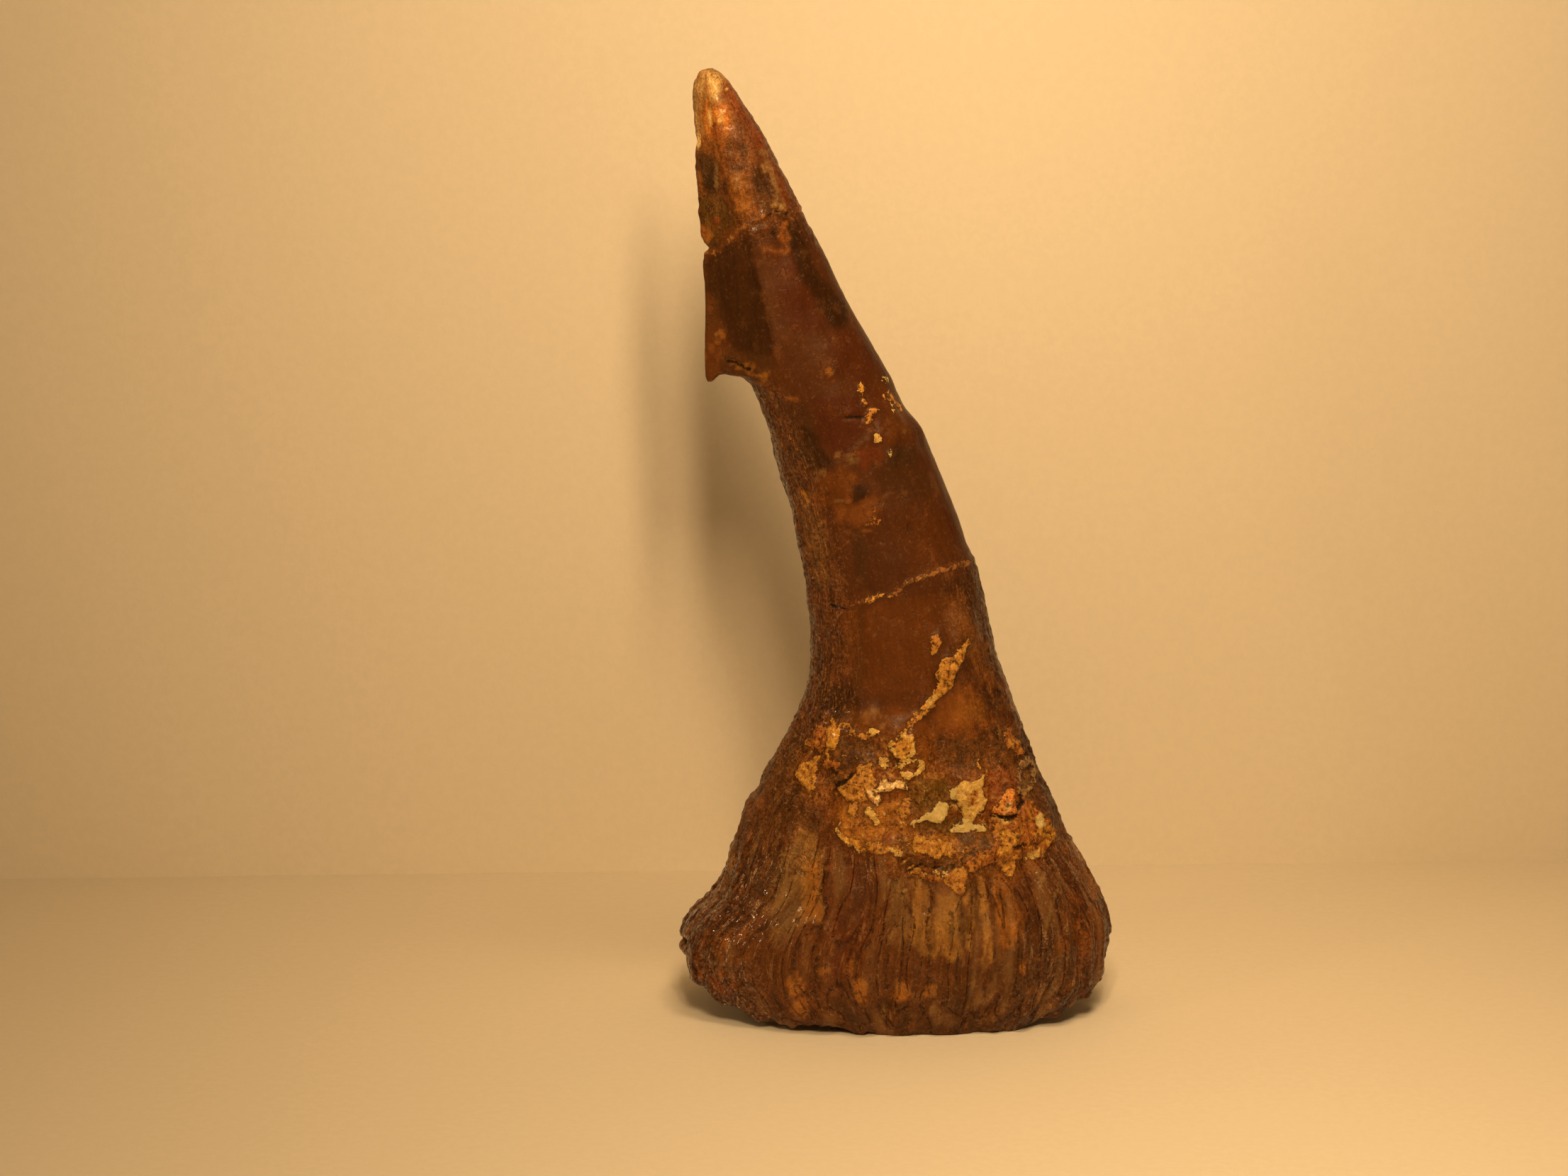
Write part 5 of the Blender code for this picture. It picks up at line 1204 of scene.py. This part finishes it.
def fossil_bone(colours):
    """Stained bone and enamel with mineral crust, painted glints and painted shade, as one finish that reads
    the sculpted fields.
    """
    finish = Finish("fossil_bone")
    place = finish.place()
    flow = finish.scaled(finish.attribute("flow", "Vector"), (1.0, 1.0, 0.12))
    broken = finish.attribute("broken")
    fibrous = finish.attribute("fibrous")
    crusted = finish.attribute("crusted")
    fluted = finish.attribute("fluted")
    smooth = finish.attribute("crust_smooth")

    # Noises, each with its scale, detail and roughness. The last four run with the grain.
    mottle = finish.noise(place, 0.8, 4, 0.6)
    lump = finish.noise(place, 2.2, 2, 0.5)
    pores = finish.noise(place, 2.6, 3, 0.65)
    speckle = finish.noise(place, 4.2, 3, 0.6)
    grain = finish.noise(place, 8.5, 2, 0.6)
    streak = finish.noise(flow, 2, 4, 0.62)
    hairline = finish.noise(flow, 6.5, 2, 0.6)
    dash = finish.noise(finish.scaled(flow, (1.0, 1.0, 0.55)), 3.2, 3, 0.65)
    columns = finish.noise(finish.scaled(flow, (1.0, 1.0, 0.15)), 0.7, 1, 0.5)

    groove = fluted * abs(columns - 0.5).ramp(0, 0.035, 1, 0) * pores.ramp(0.4, 0.54)
    crackle = finish.node(
        "ShaderNodeTexVoronoi", {"feature": "DISTANCE_TO_EDGE"},
        {"Vector": finish.warped(place, lump, 0.5), "Scale": 1.3}, output="Distance",
    )
    crackle = crackle.ramp(0, 0.06, 1, 0) * mottle.ramp(0.5, 0.6) * pores.ramp(0.42, 0.52)
    grains = 0.6 * pores + 0.4 * speckle

    # Bone: a narrow range of tone where the enamel is whole, a wide one where the surface is broken.
    tone = 0.26 * mottle + 0.24 * streak + 0.25 * speckle + 0.25 * grain
    tone = finish.shades(0.5 + (tone - 0.5) * (0.3 + 2 * broken), BONE_TONES)
    bone = finish.mix(1.0, finish.attribute("ground", "Color"), tone, "MULTIPLY")
    bone = finish.layered(bone, (
        ((0.3 + 0.4 * broken) * mottle.ramp(0.56, 0.68, 0, 0.3), colours["chestnut"]),
        (fluted * dash.ramp(0.57, 0.64, 0, 0.35) * mottle.ramp(0.45, 0.55), colours["tan"]),
        (fluted * dash.ramp(0.36, 0.43, 0.9, 0) * pores.ramp(0.46, 0.54), colours["dirt"]),
        (fibrous * hairline.ramp(0.5, 0.62, 0, 0.7) * pores.ramp(0.46, 0.58), colours["clay"]),
        ((0.06 + 0.8 * fibrous) * hairline.ramp(0.36, 0.46, 0.75, 0) * lump.ramp(0.56, 0.44),
         colours["bister"]),
        (fluted * columns.ramp(0.56, 0.7, 0, 0.3), colours["tan"]),
        (fluted * columns.ramp(0.3, 0.44, 0.45, 0), colours["bister"]),
        (groove * 0.55, colours["groove"]),
        (crackle * 0.4, colours["dirt"]),
        ((0.12 + broken) * speckle.ramp(0.6, 0.68, 0, 0.55), colours["ash"]),
        # painted glints: pale flecks on the broken root
        (fluted * (broken - 0.3) * dash.ramp(0.6, 0.63) * grain.ramp(0.48, 0.54), colours["fleck"]),
        (broken * grain.ramp(0.3, 0.4, 0.7, 0), colours["pore"]),
    ))

    # Mineral grains over the band round the top of the root, pale mineral in the healed cracks, and a dark
    # line just outside the edges of the plates, which is dirt and painted shade at their foot.
    scatter = finish.shades(lump, [(stop, colours[name]) for stop, name in GRAIN_COLOURS])
    seam = finish.attribute("seam") + 0.9 * (speckle - 0.5) + 0.5 * (lump - 0.5)
    depth = finish.attribute("crust_depth") + 0.4 * (lump - 0.5) + 0.6 * (speckle - 0.5) + 0.4 * (grain - 0.5)
    bone = finish.layered(bone, (
        (crusted * grains.ramp(0.46, 0.56, 0, 0.85), scatter),
        (crusted * grains.ramp(0.38, 0.45, 0.8, 0), colours["bister"]),
        (seam.ramp(0.02, 0.16, 0.85, 0) * mottle.ramp(0.38, 0.52), colours["clay"]),
        # dirt and painted shade against the foot of each plate
        (depth.ramp(-0.2, 0, 0, 0.5), colours["bister"]),
    ))

    # Crust: ragged plates with holes in them.
    tint = finish.attribute("crust_tint", "Color")
    tone = finish.shades(0.45 * pores + 0.3 * speckle + 0.25 * grain, CRUST_TONES)
    crust = finish.layered(finish.mix(1.0, tint, tone, "MULTIPLY"), (
        ((1 - smooth) * lump.ramp(0.53, 0.62, 0, 0.55), colours["gold"]),
        ((1 - smooth) * lump.ramp(0.38, 0.46, 0.5, 0), colours["rust_crust"]),
        (smooth * 0.75, tint),
    ))
    on_crust = depth.ramp(0, 0.07) * (pores + 0.2 * smooth).ramp(0.38, 0.44, 0.25, 1)
    # Open cracks are painted near-black inside: painted shade in the recess.
    crack = finish.attribute("crack") + 0.25 * (speckle - 0.5)
    skin = finish.layered(bone, ((on_crust, crust), (crack.ramp(0, 0.1, 0.9, 0), colours["gap"])))

    # Relief in millimetres.
    relief = (0.03 + 0.06 * broken) * streak + 0.14 * broken * lump + 0.1 * broken * speckle
    relief = relief + 0.04 * broken * grain + 0.05 * fibrous * hairline + 0.08 * fluted * dash
    relief = relief + 0.08 * on_crust * pores + 0.12 * crusted * grains - 0.1 * groove - 0.03 * crackle
    gloss = broken * speckle.ramp(0.46, 0.6, 0, 0.2)
    roughness = 0.27 + 0.16 * mottle + 0.12 * speckle + 0.1 * on_crust - gloss
    return finish.end(finish.surface({
        "Base Color": skin, "Roughness": roughness, "Specular IOR Level": 0.16, "Specular Tint": WARM_SHINE,
        "Coat Weight": finish.attribute("wet") * speckle.ramp(0.42, 0.54), "Coat Roughness": 0.1,
        "Normal": finish.bump(relief, MM),
    }))


def one_sided(name, colour_here):
    """Matt card with a faint tooth, clear from behind so that it hides nothing from there."""
    finish = Finish(name)
    tooth = finish.noise(finish.place(), 1.4, 4, 0.7)
    tint = finish.mix(tooth.ramp(0.35, 0.65), colour_here, [0.97 * part for part in colour_here])
    bump = finish.bump(tooth, 0.1 * MM, 0.25)
    front = finish.surface({"Base Color": tint, "Roughness": 0.8, "Specular IOR Level": 0.2, "Normal": bump})
    behind = finish.node("ShaderNodeNewGeometry", output="Backfacing")
    clear = finish.node("ShaderNodeBsdfTransparent")
    return finish.end(finish.node("ShaderNodeMixShader", {}, {0: behind, 1: front, 2: clear}))


# ---------------------------------------------------------------- floor, backdrop, light and camera

def card(name, size, place, turn, material):
    """A flat card whose place and turn are in its mesh."""
    bpy.ops.object.select_all(action="DESELECT")
    bpy.ops.mesh.primitive_plane_add(size=1.0, location=place, rotation=turn)
    piece = bpy.context.object
    piece.name = piece.data.name = name
    piece.scale = (*size, 1.0)
    bpy.ops.object.transform_apply(location=True, rotation=True, scale=True)
    piece.data.materials.append(material)
    return piece


def facing_back(away):
    """The turn of a lamp or camera whose back points away from what it looks at."""
    return away.to_track_quat("Z", "Y").to_euler()


def lamp(name, place, target, size, spread, power, tint):
    """A lamp that faces its target, with its places and size in millimetres and its spread in degrees."""
    bpy.ops.object.light_add(type="AREA", location=Vector(place) * MM)
    piece = bpy.context.object
    piece.name = name
    piece.rotation_euler = facing_back(Vector(place) - Vector(target))
    piece.visible_camera = False
    piece.data.shape = "RECTANGLE"
    piece.data.size, piece.data.size_y = size[0] * MM, size[1] * MM
    piece.data.spread = math.radians(spread)
    piece.data.energy = power
    piece.data.color = tint
    return piece


def light_room(tint, strength):
    """Even light from all round."""
    world = bpy.data.worlds.new("room")
    bpy.context.scene.world = world
    world.use_nodes = True
    room = world.node_tree.nodes["Background"]
    room.inputs["Color"].default_value = (*tint, 1.0)
    room.inputs["Strength"].default_value = strength


def add_camera(settings):
    rise = settings.elevation
    away = Vector((0.0, -math.cos(rise), math.sin(rise)))
    target = Vector([part * MM for part in CAMERA_TARGET])
    bpy.ops.object.camera_add(location=target + away * settings.distance)
    camera = bpy.context.object
    camera.rotation_euler = facing_back(away)
    camera.data.lens = settings.lens
    camera.data.clip_start, camera.data.clip_end = CAMERA_CLIP
    bpy.context.scene.camera = camera


def build_stage(settings):
    matt = one_sided("card", tuple(settings.floor))
    card("floor", FLOOR_SIZE, (0, 0, 0), (0, 0, 0), matt)
    middle = (BACKDROP_ASIDE * MM, settings.wall_gap, BACKDROP_HEIGHT * MM)
    card("backdrop", BACKDROP_SIZE, middle, (math.radians(90), 0, settings.wall_turn), matt)

    warmth = tuple(settings.warmth)
    for name, place, target, size, spread, share in LAMPS:
        lamp(name, place, target, size, spread, share * settings.key, warmth)
    light_room(warmth, settings.fill)
    add_camera(settings)
    view = bpy.context.scene.view_settings
    view.view_transform = "Standard"
    view.look = "None"


# ---------------------------------------------------------------- operators and panel

class FOSSIL_OT_spine(bpy.types.Operator):
    """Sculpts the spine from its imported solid, with its stains, cracks and mineral crust"""

    bl_idname = "fossil.spine"
    bl_label = "Build spine"

    def execute(self, context):
        build_spine(context.scene.fossil_form, context.scene.fossil_colours)
        return {"FINISHED"}


class FOSSIL_OT_stage(bpy.types.Operator):
    """Adds the floor, the backdrop, the light and the camera"""

    bl_idname = "fossil.stage"
    bl_label = "Build stage"

    def execute(self, context):
        build_stage(context.scene.fossil_stage)
        return {"FINISHED"}


class FOSSIL_PT_panel(bpy.types.Panel):
    """Lists the fossil spine's builders and their settings"""

    bl_idname = "FOSSIL_PT_panel"
    bl_label = "Fossil Rostral Spine"
    bl_space_type = "VIEW_3D"
    bl_region_type = "UI"
    bl_category = "Fossil"

    def draw(self, context):
        for operator, settings in (
            (FOSSIL_OT_spine, ("fossil_form", "fossil_colours")),
            (FOSSIL_OT_stage, ("fossil_stage",)),
        ):
            box = self.layout.box()
            box.operator(operator.bl_idname)
            for group in settings:
                for name in type(getattr(context.scene, group)).__annotations__:
                    box.prop(getattr(context.scene, group), name)


CLASSES = (SpineForm, SpineColours, StageSettings, FOSSIL_OT_spine, FOSSIL_OT_stage, FOSSIL_PT_panel)
SETTINGS = {"fossil_form": SpineForm, "fossil_colours": SpineColours, "fossil_stage": StageSettings}


def register():
    for kind in CLASSES:
        bpy.utils.register_class(kind)
    for name, group in SETTINGS.items():
        setattr(bpy.types.Scene, name, PointerProperty(type=group))


def unregister():
    for name in SETTINGS:
        delattr(bpy.types.Scene, name)
    for kind in reversed(CLASSES):
        bpy.utils.unregister_class(kind)


def main():
    register()
    bpy.ops.fossil.spine()
    bpy.ops.fossil.stage()


if __name__ == "__main__":
    main()
